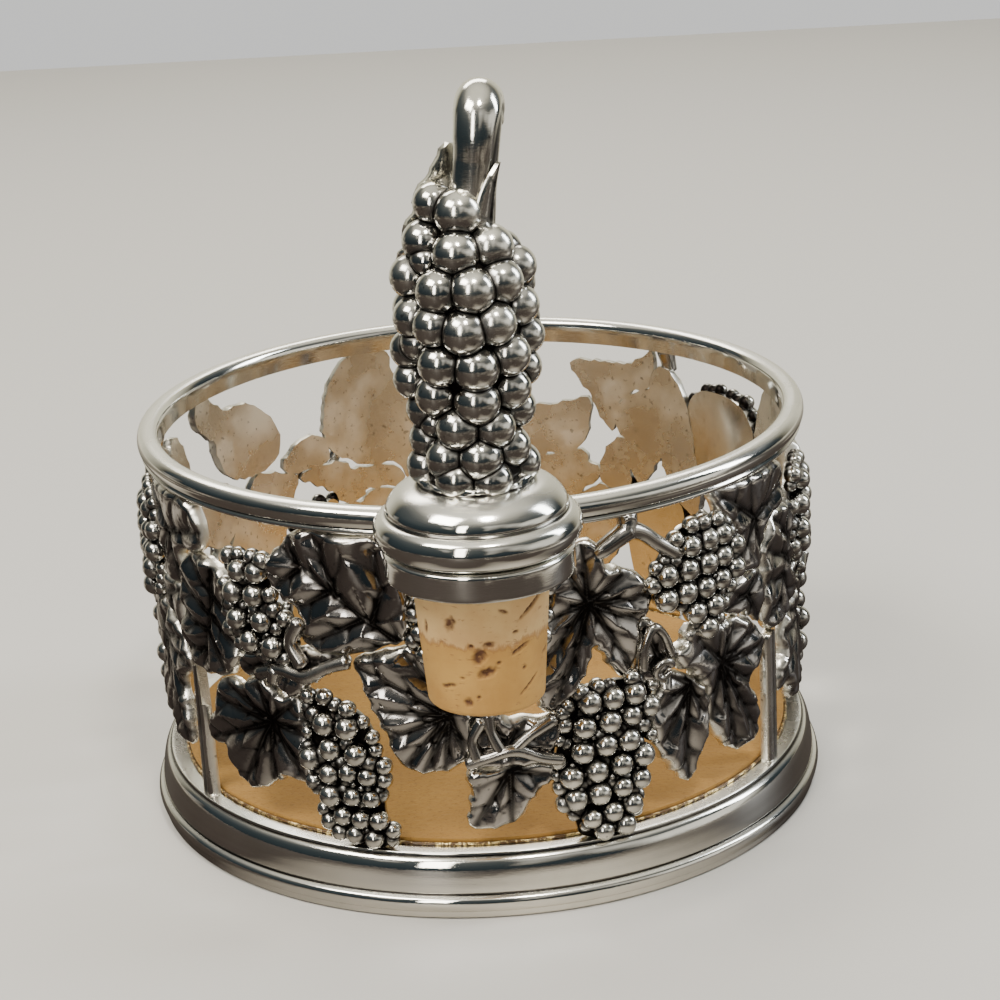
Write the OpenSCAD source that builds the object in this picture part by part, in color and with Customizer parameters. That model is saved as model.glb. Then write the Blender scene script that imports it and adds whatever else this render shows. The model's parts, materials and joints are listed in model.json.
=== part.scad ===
// Wine bottle coaster with a pierced grape-and-vine gallery and a hanging bottle stopper.
// The origin is the centre of the underside, +Z is up and the stopper hangs at the front, -Y.

/* [Coaster] */
// Radius of the well that takes the bottle, the inner face of the rim
well_r = 59.3; // [40:0.1:70]
// Width of the rim from its inner face to its outer face
rim_w = 4.2; // [3:0.1:5]
// Height of the rim's top above the table
rim_top_z = 76.2; // [66:0.1:90]
// Height of the rim's band
rim_h = 4.9; // [3.5:0.1:7]
// How far the foot flares out from the lip to its lowest bead
foot_flare = 3.1; // [2:0.1:5]
// Height of the flat lip that carries the gallery
lip_z = 11.7; // [9:0.1:15]
// Width of the flat lip from the well to its outer edge
lip_w = 3.2; // [2.8:0.1:4]
// Wall of the foot ring
foot_wall = 1.4; // [1:0.1:2]
// Height of the round bead near the foot's bottom
foot_bead_h = 2.7; // [2:0.1:3]

/* [Floor] */
// Thickness of the lining on the floor
lining_t = 1.2; // [0.6:0.1:2]
// Thickness of the felt under the base
felt_t = 0.9; // [0.5:0.1:1.5]

/* [Gallery] */
// Gap by which the gallery stands behind the rim's inner face
gallery_set = 0.6; // [0.5:0.05:1]
// Thickness of a cast leaf at its edge
cast_t = 1.5; // [1:0.1:2]
// Height of the relief above that edge
relief_h = 2.5; // [1:0.1:3]
// Thickness of the backing of a bunch
bunch_t = 2.4; // [1.5:0.1:3]
// Radius of a grape on the gallery
grape_r = 1.65; // [1.3:0.05:1.65]
// Half the thickness of the vine below the rim
vine_r = 1.2; // [1:0.05:1.6]

/* [Holder] */
// Outer radius of the ring that holds the stopper
ring_r = 15.7; // [14:0.1:16.5]
// Wall of that ring
ring_wall = 2.5; // [1.5:0.1:3]
// Height of that ring
ring_h = 4.9; // [3.5:0.1:7]
// Gap between the ring and the rim, filled by the saddle
ring_gap = 0.4; // [0.3:0.05:1]
// Width of the saddle
saddle_w = 14; // [8:0.5:18]
// Height of the saddle
saddle_h = 4; // [3:0.1:4.5]

/* [Stopper] */
// Outer radius of the flange that rests on the ring
flange_r = 17.1; // [16.8:0.1:19]
// Radius of the flange's rounded edge
flange_round = 3.1; // [2:0.1:3.5]
// Radius of the dome above the flange
dome_r = 14.8; // [13.5:0.1:15.5]
// Height of the dome
dome_h = 4.6; // [3:0.1:6]
// Radius of the neck below the grapes
neck_r = 9.2; // [8:0.1:10]
// Height of the cap from its seat to the top of the neck
cap_h = 12; // [11:0.1:14]
// Radius of the cork at its top
cork_top_r = 11.8; // [10:0.1:12]
// Radius of the cork at its bottom
cork_bottom_r = 9.7; // [8:0.1:10]
// Length of the cork
cork_h = 26.8; // [20:0.1:34]
// Radius of the threaded stud inside the cap and the cork
stud_r = 3; // [2:0.1:4]
// Length of the stud inside the cap
stud_up = 7; // [4:0.1:9]
// Length of the stud inside the cork
stud_down = 16; // [8:0.5:18]
// Radius of a grape on the stopper
finial_grape_r = 3.7; // [3:0.05:4]
// Height of the bunch on the stopper
finial_h = 49; // [40:0.5:56]
// Largest distance from the axis to a grape's centre
finial_spread = 7.9; // [6:0.1:9]
// Radius of the stem on top
stem_r = 3.5; // [3:0.1:4.2]
// Length of the straight part of the stem
stem_h = 13; // [8:0.5:18]
// Radius of the stem's bend
stem_bend = 4.6; // [4.3:0.1:7]

/* [Clearances] */
// Gap at a face that only rests on another
seat_gap = 0.05; // [0.02:0.01:0.1]
// Gap round the stud that the stopper turns on
run_gap = 0.05; // [0.03:0.01:0.1]
// Gap beside a seam between fixed pieces
seam_gap = 0.15; // [0.05:0.05:0.3]
// Gap between soldered pieces whose curved faces meet
fine = 0.02; // [0.01:0.01:0.05]
// Length by which a cutting shape passes the face it cuts
cut = 1; // [0.5:0.1:2]

/* [Hidden] */
PANELS = [["front", 0], ["right", 120], ["left", 240]];
LEAF_KINDS = ["leaf_broad", "leaf_folded", "leaf_low", "leaf_side", "leaf_lobed", "leaf_pointed",
              "leaf_spread", "leaf_top"];
BUNCH_KINDS = ["bunch_small", "bunch_long", "bunch_large", "bunch_high", "bunch_middle"];
// Places where the back of the gallery is modelled by its own leaves instead of a panel's
LEFT_OUT = ["leaf_top_right", "leaf_side_left", "leaf_broad_left", "bunch_high_right",
            "bunch_small_left", "bunch_middle_left"];
function listed(name, list) = len([for (entry = list) if (entry == name) entry]) > 0;
function kept(kinds) = [for (p = PANELS) for (k = kinds) let (n = str(k, "_", p[0]))
    if (!listed(n, LEFT_OUT)) [n, k, p[1]]];
LEAVES = kept(LEAF_KINDS);
BUNCHES = kept(BUNCH_KINDS);

silver = "#c9c6bd";
tarnish = "#6f6c68";
felt = "#b98d4f";
cork_tan = "#d6b283";
wood = "#6b4a2f";

rim_r = well_r + rim_w;
lip_r = well_r + lip_w;
foot_r = lip_r + foot_flare;
rim_z = rim_top_z - rim_h;
gallery_h = rim_z - lip_z;
gallery_back_r = well_r + gallery_set;
board_r = lip_r - foot_wall + seam_gap * 2;
foot_z = felt_t / 3;
ring_top_z = rim_top_z + seat_gap + seat_gap;
ring_y = -(rim_r + ring_gap + ring_r);
seat_z = ring_top_z + seat_gap;
neck_top_z = seat_z + cap_h;

// Outlines of the gallery's castings. Each point is an angle round the coaster in degrees,
// 0 at the front and counted towards +X, and a share of the gallery's height above the lip.
// Broad leaf hung from the rim, its tip pointing left
leaf_broad_shares = [
    [-37, 0.88], [-34, 0.93], [-31.5, 0.98], [-27.5, 1], [-22, 1], [-17, 1], [-14.5, 0.94],
    [-12.5, 0.86], [-11.5, 0.77], [-12.5, 0.68], [-16, 0.66], [-20.5, 0.63], [-25, 0.62],
    [-29, 0.62], [-31.5, 0.66], [-30, 0.7], [-32, 0.75], [-35, 0.78], [-37, 0.82]];
leaf_broad_centre_share = [-23, 0.79];
// Leaf below it, folded along its midrib
leaf_folded_shares = [
    [-22, 0.6], [-18.5, 0.62], [-14.5, 0.64], [-11, 0.65], [-9, 0.58], [-6, 0.53], [-3.5, 0.47],
    [-2.5, 0.41], [-3, 0.33], [-5, 0.28], [-8.5, 0.26], [-13, 0.26], [-15.5, 0.3], [-16.5, 0.37],
    [-18, 0.42], [-19.5, 0.48], [-20.5, 0.54]];
leaf_folded_centre_share = [-12, 0.46];
// Low leaf with lobes that spread from one point
leaf_low_shares = [
    [-53.5, 0.39], [-49.5, 0.45], [-45.5, 0.44], [-42.5, 0.48], [-38.5, 0.48], [-36.5, 0.44],
    [-33, 0.45], [-31.5, 0.39], [-31, 0.34], [-32, 0.29], [-31, 0.23], [-32, 0.18], [-36.5, 0.19],
    [-39.5, 0.16], [-42.5, 0.12], [-46, 0.11], [-49, 0.16], [-51, 0.22], [-56.5, 0.21],
    [-56, 0.28], [-53, 0.32]];
leaf_low_centre_share = [-41, 0.31];
// Tall leaf beside the small bunch
leaf_side_shares = [
    [-51, 0.81], [-47.5, 0.79], [-48.5, 0.72], [-47, 0.67], [-47, 0.62], [-46.5, 0.58],
    [-46, 0.51], [-49.5, 0.46], [-52.5, 0.45], [-57, 0.44], [-61, 0.46], [-63, 0.53], [-62, 0.61],
    [-62.5, 0.68], [-62, 0.74], [-59, 0.81], [-55, 0.82]];
leaf_side_centre_share = [-55, 0.64];
// Deeply lobed leaf with two long lower lobes
leaf_lobed_shares = [
    [16.5, 0.94], [19, 0.93], [20, 0.89], [20.5, 0.85], [24, 0.83], [27.5, 0.79], [28.5, 0.75],
    [28.5, 0.7], [26.5, 0.66], [26, 0.6], [25, 0.53], [23, 0.5], [21.5, 0.53], [20, 0.58],
    [18, 0.62], [17, 0.56], [15.5, 0.51], [13.5, 0.46], [12, 0.44], [9.5, 0.43], [8.5, 0.47],
    [8, 0.51], [9, 0.58], [9.5, 0.66], [10.5, 0.76], [12, 0.85], [14.5, 0.91]];
leaf_lobed_centre_share = [17.5, 0.72];
// Leaf with one long pointed lobe hanging down
leaf_pointed_shares = [
    [31.5, 0.47], [34, 0.46], [36, 0.44], [38, 0.41], [40, 0.37], [40.5, 0.31], [40, 0.26],
    [39, 0.21], [37.5, 0.16], [36.5, 0.11], [35.5, 0.1], [33.5, 0.14], [31.5, 0.18], [29.5, 0.23],
    [29, 0.28], [28, 0.32], [28, 0.36], [29.5, 0.41]];
leaf_pointed_centre_share = [35, 0.33];
// Leaf with a long fan of lobes to the right
leaf_spread_shares = [
    [36.5, 0.46], [33.5, 0.49], [33, 0.54], [35.5, 0.55], [35.5, 0.58], [37, 0.6], [40, 0.57],
    [43.5, 0.57], [46.5, 0.56], [50, 0.55], [53.5, 0.51], [56, 0.46], [57.5, 0.42], [55, 0.38],
    [52.5, 0.35], [52, 0.31], [54, 0.25], [54.5, 0.18], [54.5, 0.13], [50.5, 0.13], [46.5, 0.14],
    [44, 0.18], [41.5, 0.24], [41, 0.3], [40.5, 0.37], [38.5, 0.42]];
leaf_spread_centre_share = [46, 0.42];
// Leaf lying along the underside of the rim
leaf_top_shares = [
    [42.5, 1], [48, 1], [54, 1], [60, 1], [64.5, 0.97], [66.5, 0.9], [65.5, 0.84], [60, 0.82],
    [57.5, 0.8], [57, 0.74], [57, 0.69], [52, 0.69], [48.5, 0.71], [48, 0.75], [48.5, 0.82],
    [47, 0.87], [45, 0.9], [43.5, 0.94]];
leaf_top_centre_share = [54, 0.85];
// Sprig that runs from the small bunch to the folded leaf
sprig_side_shares = [
    [-45.5, 0.54], [-42, 0.57], [-38.5, 0.57], [-34.5, 0.57], [-32.5, 0.61], [-29.5, 0.61],
    [-25, 0.61], [-22.5, 0.59], [-25, 0.57], [-28, 0.54], [-30.5, 0.51], [-32.5, 0.46],
    [-35.5, 0.46], [-37.5, 0.5], [-41.5, 0.5], [-45, 0.49]];
sprig_side_centre_share = [-35.5, 0.53];
// Knotted sprig between the folded leaf and the large bunch
sprig_middle_shares = [
    [-2, 0.45], [1, 0.46], [3, 0.41], [5.5, 0.42], [8, 0.41], [12, 0.41], [12, 0.36], [10.5, 0.31],
    [10.5, 0.27], [7.5, 0.27], [4, 0.27], [0, 0.27], [-4, 0.27], [-2.5, 0.33], [-2, 0.4]];
sprig_middle_centre_share = [3.5, 0.35];
// Small leaf that hangs below the knotted sprig
leaf_foot_shares = [
    [-4, 0.26], [0, 0.26], [5, 0.26], [10.5, 0.26], [10.5, 0.22], [8, 0.19], [6, 0.15], [5, 0.11],
    [2, 0.08], [-1, 0.07], [-4, 0.08], [-3.5, 0.13], [-3, 0.19]];
leaf_foot_centre_share = [2.5, 0.2];
// Tendril that curls beside the lobed leaf
tendril_shares = [
    [27, 0.66], [29.5, 0.64], [31.5, 0.59], [32.5, 0.53], [32.5, 0.49], [30.5, 0.47], [28.5, 0.46],
    [26, 0.48], [26, 0.53], [26.5, 0.6]];
tendril_centre_share = [29.5, 0.54];
// Small leaf between the high bunch and the next panel
leaf_edge_shares = [
    [45, 0.6], [45.5, 0.65], [48, 0.68], [52, 0.68], [56.5, 0.67], [57, 0.61], [56.5, 0.54],
    [56, 0.5], [54.5, 0.53], [51, 0.57], [47, 0.58]];
leaf_edge_centre_share = [51, 0.62];
// Plain post that stands on the foot
post_shares = [
    [58.5, 0], [62.5, 0], [62, 0.14], [62, 0.27], [61.5, 0.37], [61, 0.44], [59, 0.43],
    [58.5, 0.37], [58.5, 0.27], [58.5, 0.14]];
post_centre_share = [60.5, 0.21];
// Back leaf whose tip reaches into the open space
leaf_back_tip_shares = [
    [140, 1], [141.5, 0.97], [145, 0.93], [153, 0.93], [158.5, 0.93], [157, 0.88], [154, 0.82],
    [153, 0.77], [151, 0.71], [149.5, 0.68], [149, 0.75], [148, 0.8], [144.5, 0.85], [141, 0.86],
    [140.5, 0.9], [139.5, 0.94]];
leaf_back_tip_centre_share = [149.5, 0.84];
// Wide leaf at the back
leaf_back_wide_shares = [
    [154.5, 0.8], [158, 0.78], [162, 0.76], [168, 0.75], [172, 0.77], [174.5, 0.71], [176, 0.63],
    [175.5, 0.55], [174, 0.53], [170.5, 0.57], [166.5, 0.58], [163.5, 0.59], [160, 0.58],
    [157.5, 0.61], [156, 0.64], [155, 0.71]];
leaf_back_wide_centre_share = [165, 0.67];
// Tall back leaf that reaches the rim
leaf_back_tall_shares = [
    [196.5, 1], [204, 1], [207.5, 0.95], [210, 0.86], [211, 0.74], [209.5, 0.66], [205.5, 0.62],
    [203, 0.59], [196.5, 0.59], [194.5, 0.56], [192.3, 0.5], [191, 0.5], [190, 0.57], [190, 0.66],
    [190, 0.76], [193, 0.85], [196, 0.92]];
leaf_back_tall_centre_share = [199.5, 0.74];
// Small sprig right of the tall back leaf
sprig_back_left_shares = [
    [211.5, 0.72], [216, 0.73], [219.5, 0.69], [221.5, 0.65], [220, 0.62], [216, 0.62],
    [210.5, 0.63], [210.5, 0.67]];
sprig_back_left_centre_share = [214.5, 0.66];
// Back leaf with an arm up to the rim
leaf_back_reach_shares = [
    [222.5, 0.8], [225.5, 0.87], [230, 0.92], [236.5, 0.92], [240.5, 0.97], [242, 1], [246, 1],
    [246.5, 0.93], [243.5, 0.88], [240, 0.84], [239, 0.76], [236.5, 0.69], [230, 0.66],
    [224, 0.68], [222, 0.73]];
leaf_back_reach_centre_share = [233, 0.79];
// Small sprig below that leaf
sprig_back_right_shares = [
    [235, 0.52], [233.5, 0.58], [235.5, 0.64], [239.5, 0.68], [244, 0.67], [248, 0.63],
    [247.5, 0.54], [244.5, 0.48], [240.5, 0.46], [237.5, 0.47]];
sprig_back_right_centre_share = [241, 0.57];
// Backs of the bunches: the small one
bunch_small_shares = [
    [-46, 0.59], [-46.5, 0.67], [-47.5, 0.72], [-47, 0.79], [-45.5, 0.85], [-43, 0.88],
    [-39.5, 0.89], [-37.5, 0.88], [-37.5, 0.82], [-37, 0.78], [-36.5, 0.73], [-34, 0.71],
    [-32, 0.66], [-33, 0.62], [-35, 0.58], [-38.5, 0.58], [-42, 0.58]];
// The long one that reaches the foot
bunch_long_shares = [
    [-29.5, 0.49], [-31.5, 0.46], [-31, 0.39], [-30.5, 0.34], [-31.5, 0.29], [-30.5, 0.23],
    [-29.5, 0.14], [-27, 0.06], [-25, 0], [-17, 0], [-17, 0.06], [-18.5, 0.12], [-17.5, 0.21],
    [-18.5, 0.31], [-20, 0.4], [-22.5, 0.44], [-27, 0.46]];
// The large one that reaches the foot
bunch_large_shares = [
    [12.5, 0.43], [12.5, 0.35], [11, 0.31], [11, 0.22], [11.5, 0.17], [12.5, 0.11], [14, 0.06],
    [14.5, 0], [23, 0], [24.5, 0.06], [25.5, 0.14], [26.5, 0.23], [27, 0.31], [27.5, 0.37],
    [28.5, 0.41], [28.5, 0.45], [26, 0.47], [23, 0.49], [20.5, 0.49], [16, 0.49], [14, 0.46]];
// The high one
bunch_high_shares = [
    [29, 0.79], [29.5, 0.69], [32, 0.68], [35.5, 0.67], [37, 0.62], [39, 0.59], [43, 0.59],
    [44, 0.61], [45, 0.66], [47.5, 0.69], [47.5, 0.75], [48, 0.82], [46.5, 0.86], [44, 0.9],
    [42, 0.91], [36, 0.92], [34, 0.89], [31.5, 0.84]];
// The one behind the stopper
bunch_middle_shares = [
    [-11, 0.81], [-11, 0.71], [-11.5, 0.67], [-10, 0.65], [-8, 0.59], [-5, 0.57], [0, 0.54],
    [5, 0.55], [8.5, 0.58], [9, 0.66], [10, 0.76], [11, 0.83], [8, 0.89], [4, 0.9], [-2, 0.9],
    [-7, 0.88], [-9.5, 0.84]];
// The one at the back
bunch_back_shares = [
    [176.5, 0.82], [185, 0.84], [189, 0.81], [189.5, 0.73], [189.5, 0.58], [187, 0.53],
    [183, 0.52], [178, 0.52], [176.5, 0.55], [176.5, 0.63], [175, 0.71]];

// Places of the grapes of each kind: an angle and a share, as for the outlines
bunch_small_grape_shares = [[-44.5, 0.82], [-41, 0.845], [-38.9, 0.79], [-43, 0.765], [-39.6, 0.73],
    [-44.6, 0.71], [-41.8, 0.68], [-38, 0.68], [-34.8, 0.67], [-44.8, 0.65], [-40, 0.625], [-36.3, 0.62]];
bunch_long_grape_shares = [[-29.3, 0.415], [-25.8, 0.415], [-22.2, 0.4], [-28, 0.36], [-24.4, 0.355],
    [-21, 0.345], [-29.4, 0.305], [-25.6, 0.303], [-22.4, 0.292], [-28.2, 0.25], [-24.5, 0.25],
    [-20.9, 0.243], [-27.2, 0.195], [-23.5, 0.19], [-20, 0.185], [-25.3, 0.14], [-21.5, 0.13],
    [-24.6, 0.085], [-20.6, 0.075], [-22.8, 0.03]];
bunch_large_grape_shares = [[15.3, 0.455], [19, 0.455], [22.6, 0.455], [26.4, 0.447], [14, 0.4],
    [17.4, 0.4], [21, 0.4], [24.6, 0.4], [13.2, 0.33], [16.5, 0.345], [19.8, 0.345], [23, 0.345],
    [26.2, 0.345], [13.4, 0.27], [17, 0.285], [20.6, 0.285], [24.2, 0.285], [13.2, 0.21],
    [16.8, 0.225], [20.4, 0.225], [24.2, 0.225], [15.3, 0.163], [18.6, 0.165], [22.2, 0.165],
    [16.6, 0.105], [20.2, 0.105], [23.6, 0.105], [16.8, 0.045], [20.6, 0.045]];
bunch_high_grape_shares = [[36.4, 0.88], [40, 0.88], [43.6, 0.87], [34.2, 0.825], [38, 0.82],
    [41.8, 0.82], [45.8, 0.82], [31.4, 0.78], [35.8, 0.765], [39.6, 0.76], [43.6, 0.76],
    [33.4, 0.71], [37.4, 0.705], [41.4, 0.7], [45.2, 0.71], [39.4, 0.65], [42.8, 0.64]];
bunch_middle_grape_shares = [[-5.8, 0.86], [-2, 0.87], [2, 0.87], [6, 0.86], [-8.6, 0.81], [-4, 0.805],
    [0, 0.81], [4.2, 0.81], [8.6, 0.81], [-9.2, 0.75], [-5.9, 0.75], [-2, 0.75], [2, 0.75], [6.4, 0.75],
    [-8.6, 0.69], [-4, 0.69], [0, 0.69], [4, 0.69], [-6, 0.63], [-2, 0.63], [2, 0.63], [6, 0.63],
    [0, 0.575]];
bunch_back_grape_shares = [[178.6, 0.79], [182.4, 0.8], [186.4, 0.8], [178.6, 0.73], [182.6, 0.74],
    [187.2, 0.745], [180.4, 0.68], [184.4, 0.685], [179, 0.62], [182.8, 0.625], [187, 0.63],
    [180.6, 0.56], [185, 0.565]];

function bunch_data(kind) =
    kind == "bunch_small" ? [bunch_small_shares, bunch_small_grape_shares] :
    kind == "bunch_long" ? [bunch_long_shares, bunch_long_grape_shares] :
    kind == "bunch_large" ? [bunch_large_shares, bunch_large_grape_shares] :
    kind == "bunch_high" ? [bunch_high_shares, bunch_high_grape_shares] :
    kind == "bunch_middle" ? [bunch_middle_shares, bunch_middle_grape_shares] :
    [bunch_back_shares, bunch_back_grape_shares];

function leaf_data(kind) =
    kind == "leaf_broad" ? [leaf_broad_shares, leaf_broad_centre_share] :
    kind == "leaf_folded" ? [leaf_folded_shares, leaf_folded_centre_share] :
    kind == "leaf_low" ? [leaf_low_shares, leaf_low_centre_share] :
    kind == "leaf_side" ? [leaf_side_shares, leaf_side_centre_share] :
    kind == "leaf_lobed" ? [leaf_lobed_shares, leaf_lobed_centre_share] :
    kind == "leaf_pointed" ? [leaf_pointed_shares, leaf_pointed_centre_share] :
    kind == "leaf_spread" ? [leaf_spread_shares, leaf_spread_centre_share] :
    kind == "leaf_top" ? [leaf_top_shares, leaf_top_centre_share] :
    kind == "sprig_side" ? [sprig_side_shares, sprig_side_centre_share] :
    kind == "sprig_middle" ? [sprig_middle_shares, sprig_middle_centre_share] :
    kind == "leaf_foot" ? [leaf_foot_shares, leaf_foot_centre_share] :
    kind == "tendril" ? [tendril_shares, tendril_centre_share] :
    kind == "leaf_edge" ? [leaf_edge_shares, leaf_edge_centre_share] :
    kind == "leaf_back_tip" ? [leaf_back_tip_shares, leaf_back_tip_centre_share] :
    kind == "leaf_back_wide" ? [leaf_back_wide_shares, leaf_back_wide_centre_share] :
    kind == "leaf_back_tall" ? [leaf_back_tall_shares, leaf_back_tall_centre_share] :
    kind == "leaf_back_reach" ? [leaf_back_reach_shares, leaf_back_reach_centre_share] :
    kind == "sprig_back_left" ? [sprig_back_left_shares, sprig_back_left_centre_share] :
    [sprig_back_right_shares, sprig_back_right_centre_share];

// Rings of a leaf's face from its middle outwards, as shares of the way to the edge,
// and the relief on each as a share of relief_h
face_ring_shares = [0.45, 0.8, 1];
face_relief_shares = [1, 0.75, 0];
middle_relief_share = 0.6;
rib_share = 0.3;
back_ring_shares = [0.5, 1];

// A point of the gallery: angle, share of its height and distance from the axis
function on_wall(a, share, r) = [r * sin(a), -r * cos(a), lip_z + share * gallery_h];

// A point a share of the way from a leaf's centre to a point of its outline
function between(c, p, way) = [c[0] + (p[0] - c[0]) * way, c[1] + (p[1] - c[1]) * way];

// Triangles of a fan and the bands that follow it, first point first, n points a ring
function fan(first, n) = [for (i = [0:n - 1]) [first, first + 1 + i, first + 1 + (i + 1) % n]];
function band(a, b, n) = [for (i = [0:n - 1]) let (j = (i + 1) % n)
    each [[a + i, b + i, b + j], [a + i, b + j, a + j]]];
function flipped(faces) = [for (f = faces) [f[2], f[1], f[0]]];

// One cast leaf: a ribbed face, a smooth back that follows the well, and the edge between
module casting(kind, turn) {
    data = leaf_data(kind);
    c = data[1];
    o = data[0];
    n = len(o);
    edge_r = gallery_back_r + cast_t;
    face = concat(
        [on_wall(c[0] + turn, c[1], edge_r + relief_h * middle_relief_share)],
        [for (k = [0:2]) for (i = [0:n - 1]) let (q = between(c, o[i], face_ring_shares[k]))
            on_wall(q[0] + turn, q[1], edge_r
                + relief_h * face_relief_shares[k] * (1 - rib_share * (i % 2)))]);
    back = concat(
        [on_wall(c[0] + turn, c[1], gallery_back_r)],
        [for (k = [0:1]) for (i = [0:n - 1]) let (q = between(c, o[i], back_ring_shares[k]))
            on_wall(q[0] + turn, q[1], gallery_back_r)]);
    rim_of_face = 1 + 2 * n;
    b = len(face);
    rim_of_back = b + 1 + n;
    polyhedron(concat(face, back), concat(
        fan(0, n), band(1, 1 + n, n), band(1 + n, rim_of_face, n),
        band(rim_of_face, rim_of_back, n),
        flipped(fan(b, n)), flipped(band(b + 1, rim_of_back, n))));
}

// A curved plate of the gallery's wall inside an outline
module wall_plate(o, turn, t) {
    mid = (min([for (p = o) p[0]]) + max([for (p = o) p[0]])) / 2;
    r = gallery_back_r + t;
    intersection() {
        rotate([0, 0, mid + turn + 90]) difference() {
            translate([0, 0, lip_z]) cylinder(h = gallery_h, r = r);
            translate([0, 0, lip_z - cut]) cylinder(h = gallery_h + cut + cut, r = gallery_back_r);
        }
        rotate([0, 0, mid + turn]) rotate([90, 0, 0]) translate([0, lip_z, well_r / 2])
            linear_extrude(well_r) polygon([for (p = o) [r * sin(p[0] - mid), p[1] * gallery_h]]);
    }
}

// A bunch: a backing in the wall and round grapes that stand out of it
module bunch(kind, turn) {
    data = bunch_data(kind);
    color(tarnish) union() {
        wall_plate(data[0], turn, bunch_t);
        for (g = data[1])
            translate(on_wall(g[0] + turn, g[1], gallery_back_r + bunch_t + grape_r / 3))
                rotate([0, 0, g[0] + turn - 90]) sphere(r = grape_r, $fn = 48);
    }
}

module leaf(kind, turn) {
    color(tarnish) casting(kind, turn);
}

// One copy of a small piece for each panel that has it
module each_panel(kind, panels) {
    color(tarnish) for (p = panels) casting(kind, p[1]);
}

// Rim: an upper half-round over a lower band, with a fine bead along its bottom edge
module top_rim() {
    w = rim_r - well_r;
    step = w / 10;
    bead_r = rim_h / 8;
    color(silver) rotate_extrude($fn = 180) union() {
        translate([well_r + w / 2, rim_top_z - w / 2]) circle(r = w / 2, $fn = 48);
        translate([well_r, rim_z + bead_r]) square([w - step, rim_h - w / 2 - bead_r]);
        translate([well_r, rim_z]) square([w - step - bead_r, rim_h - w / 2]);
        translate([rim_r - step - bead_r, rim_z + bead_r]) circle(r = bead_r, $fn = 24);
    }
}

// Foot: flat lip, convex shoulder, flaring band, a step and a round bead above the bottom edge.
// The outline's points are shares of the flare across and of the foot's height up.
foot_outline_shares = [[0, 1], [0.03, 0.95], [0.07, 0.945], [0.19, 0.93], [0.31, 0.9], [0.42, 0.84],
    [0.49, 0.76], [0.55, 0.66], [0.59, 0.56], [0.62, 0.47], [0.64, 0.4], [0.62, 0.36]];

module foot_ring() {
    h = lip_z - foot_z;
    bead = foot_bead_h / 2;
    inner_lip_r = well_r - foot_wall;
    color(silver) rotate_extrude($fn = 180) difference() {
        polygon(concat([[inner_lip_r, lip_z]],
            [for (p = foot_outline_shares) [lip_r + foot_flare * p[0], foot_z + h * p[1]]],
            [for (a = [90:-15:-60]) [foot_r - bead + bead * cos(a), foot_z + foot_bead_h + bead * sin(a)]],
            [[foot_r - bead / 2, foot_z], [inner_lip_r, foot_z]]));
        translate([inner_lip_r - cut, foot_z - cut])
            square([board_r + seam_gap - inner_lip_r + cut, lip_z - foot_wall - foot_z + cut]);
    }
}

module base_board() {
    color(wood) union() {
        translate([0, 0, felt_t])
            cylinder(h = lip_z - foot_wall - seat_gap - felt_t, r = board_r, $fn = 180);
        translate([0, 0, felt_t])
            cylinder(h = lip_z - felt_t, r = well_r - foot_wall - seam_gap, $fn = 180);
    }
}

module floor_lining() {
    color(felt) translate([0, 0, lip_z])
        cylinder(h = lining_t, r = well_r - seam_gap, $fn = 180);
}

module foot_felt() {
    color(felt) cylinder(h = felt_t, r = board_r - foot_wall, $fn = 180);
}

module wall_posts() {
    color(silver) for (p = PANELS) wall_plate(post_shares, p[1], cast_t);
}

// Vine that forks below the rim, and the short stub that stands for it where the back begins
fork_shares = [[23.2, 1], [25.9, 1], [25.7, 0.968], [29.5, 0.945], [33.4, 0.893], [32.2, 0.866],
    [29, 0.9], [25.5, 0.925], [24, 0.922], [20.55, 0.872], [20, 0.903], [22.6, 0.95]];
stub_shares = [[14.8, 1], [19.4, 1], [19.2, 0.935], [16.5, 0.946], [15, 0.926]];

module vine_forks() {
    color(tarnish) for (p = PANELS)
        wall_plate(p[0] == "right" ? stub_shares : fork_shares, p[1], vine_r * 2);
}

module sprigs_back() {
    color(tarnish) {
        casting("sprig_back_left", 0);
        casting("sprig_back_right", 0);
    }
}

module holder_ring() {
    color(silver) translate([0, ring_y, ring_top_z - ring_h]) difference() {
        cylinder(h = ring_h, r = ring_r, $fn = 96);
        translate([0, 0, -cut]) cylinder(h = ring_h + cut + cut, r = ring_r - ring_wall, $fn = 96);
    }
}

// Saddle that fills the gap between ring and rim
module holder_saddle() {
    color(silver) translate([0, 0, rim_z + (rim_h - saddle_h) / 4]) linear_extrude(saddle_h) difference() {
        translate([-saddle_w / 2, ring_y + ring_r / 2]) square([saddle_w, ring_r]);
        circle(r = rim_r + fine, $fn = 360);
        translate([0, ring_y]) circle(r = ring_r + fine, $fn = 180);
    }
}

// Cap: rounded flange, groove, dome and neck, bored for the stud
flange_arc = [for (a = [-90:12:54]) [flange_r - flange_round + flange_round * cos(a),
    flange_round + flange_round * sin(a)]];
dome_arc = [for (a = [0:15:90]) [neck_r + (dome_r - neck_r) * cos(a),
    cap_h - dome_h / 4 - dome_h + dome_h * sin(a)]];

module stopper_cap() {
    color(silver) translate([0, ring_y, seat_z]) difference() {
        rotate_extrude($fn = 144) polygon(concat([[0, 0]], flange_arc, dome_arc,
            [[neck_r, cap_h], [0, cap_h]]));
        translate([0, 0, -cut]) cylinder(h = stud_up + cut, r = stud_r + run_gap, $fn = 48);
    }
}

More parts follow.
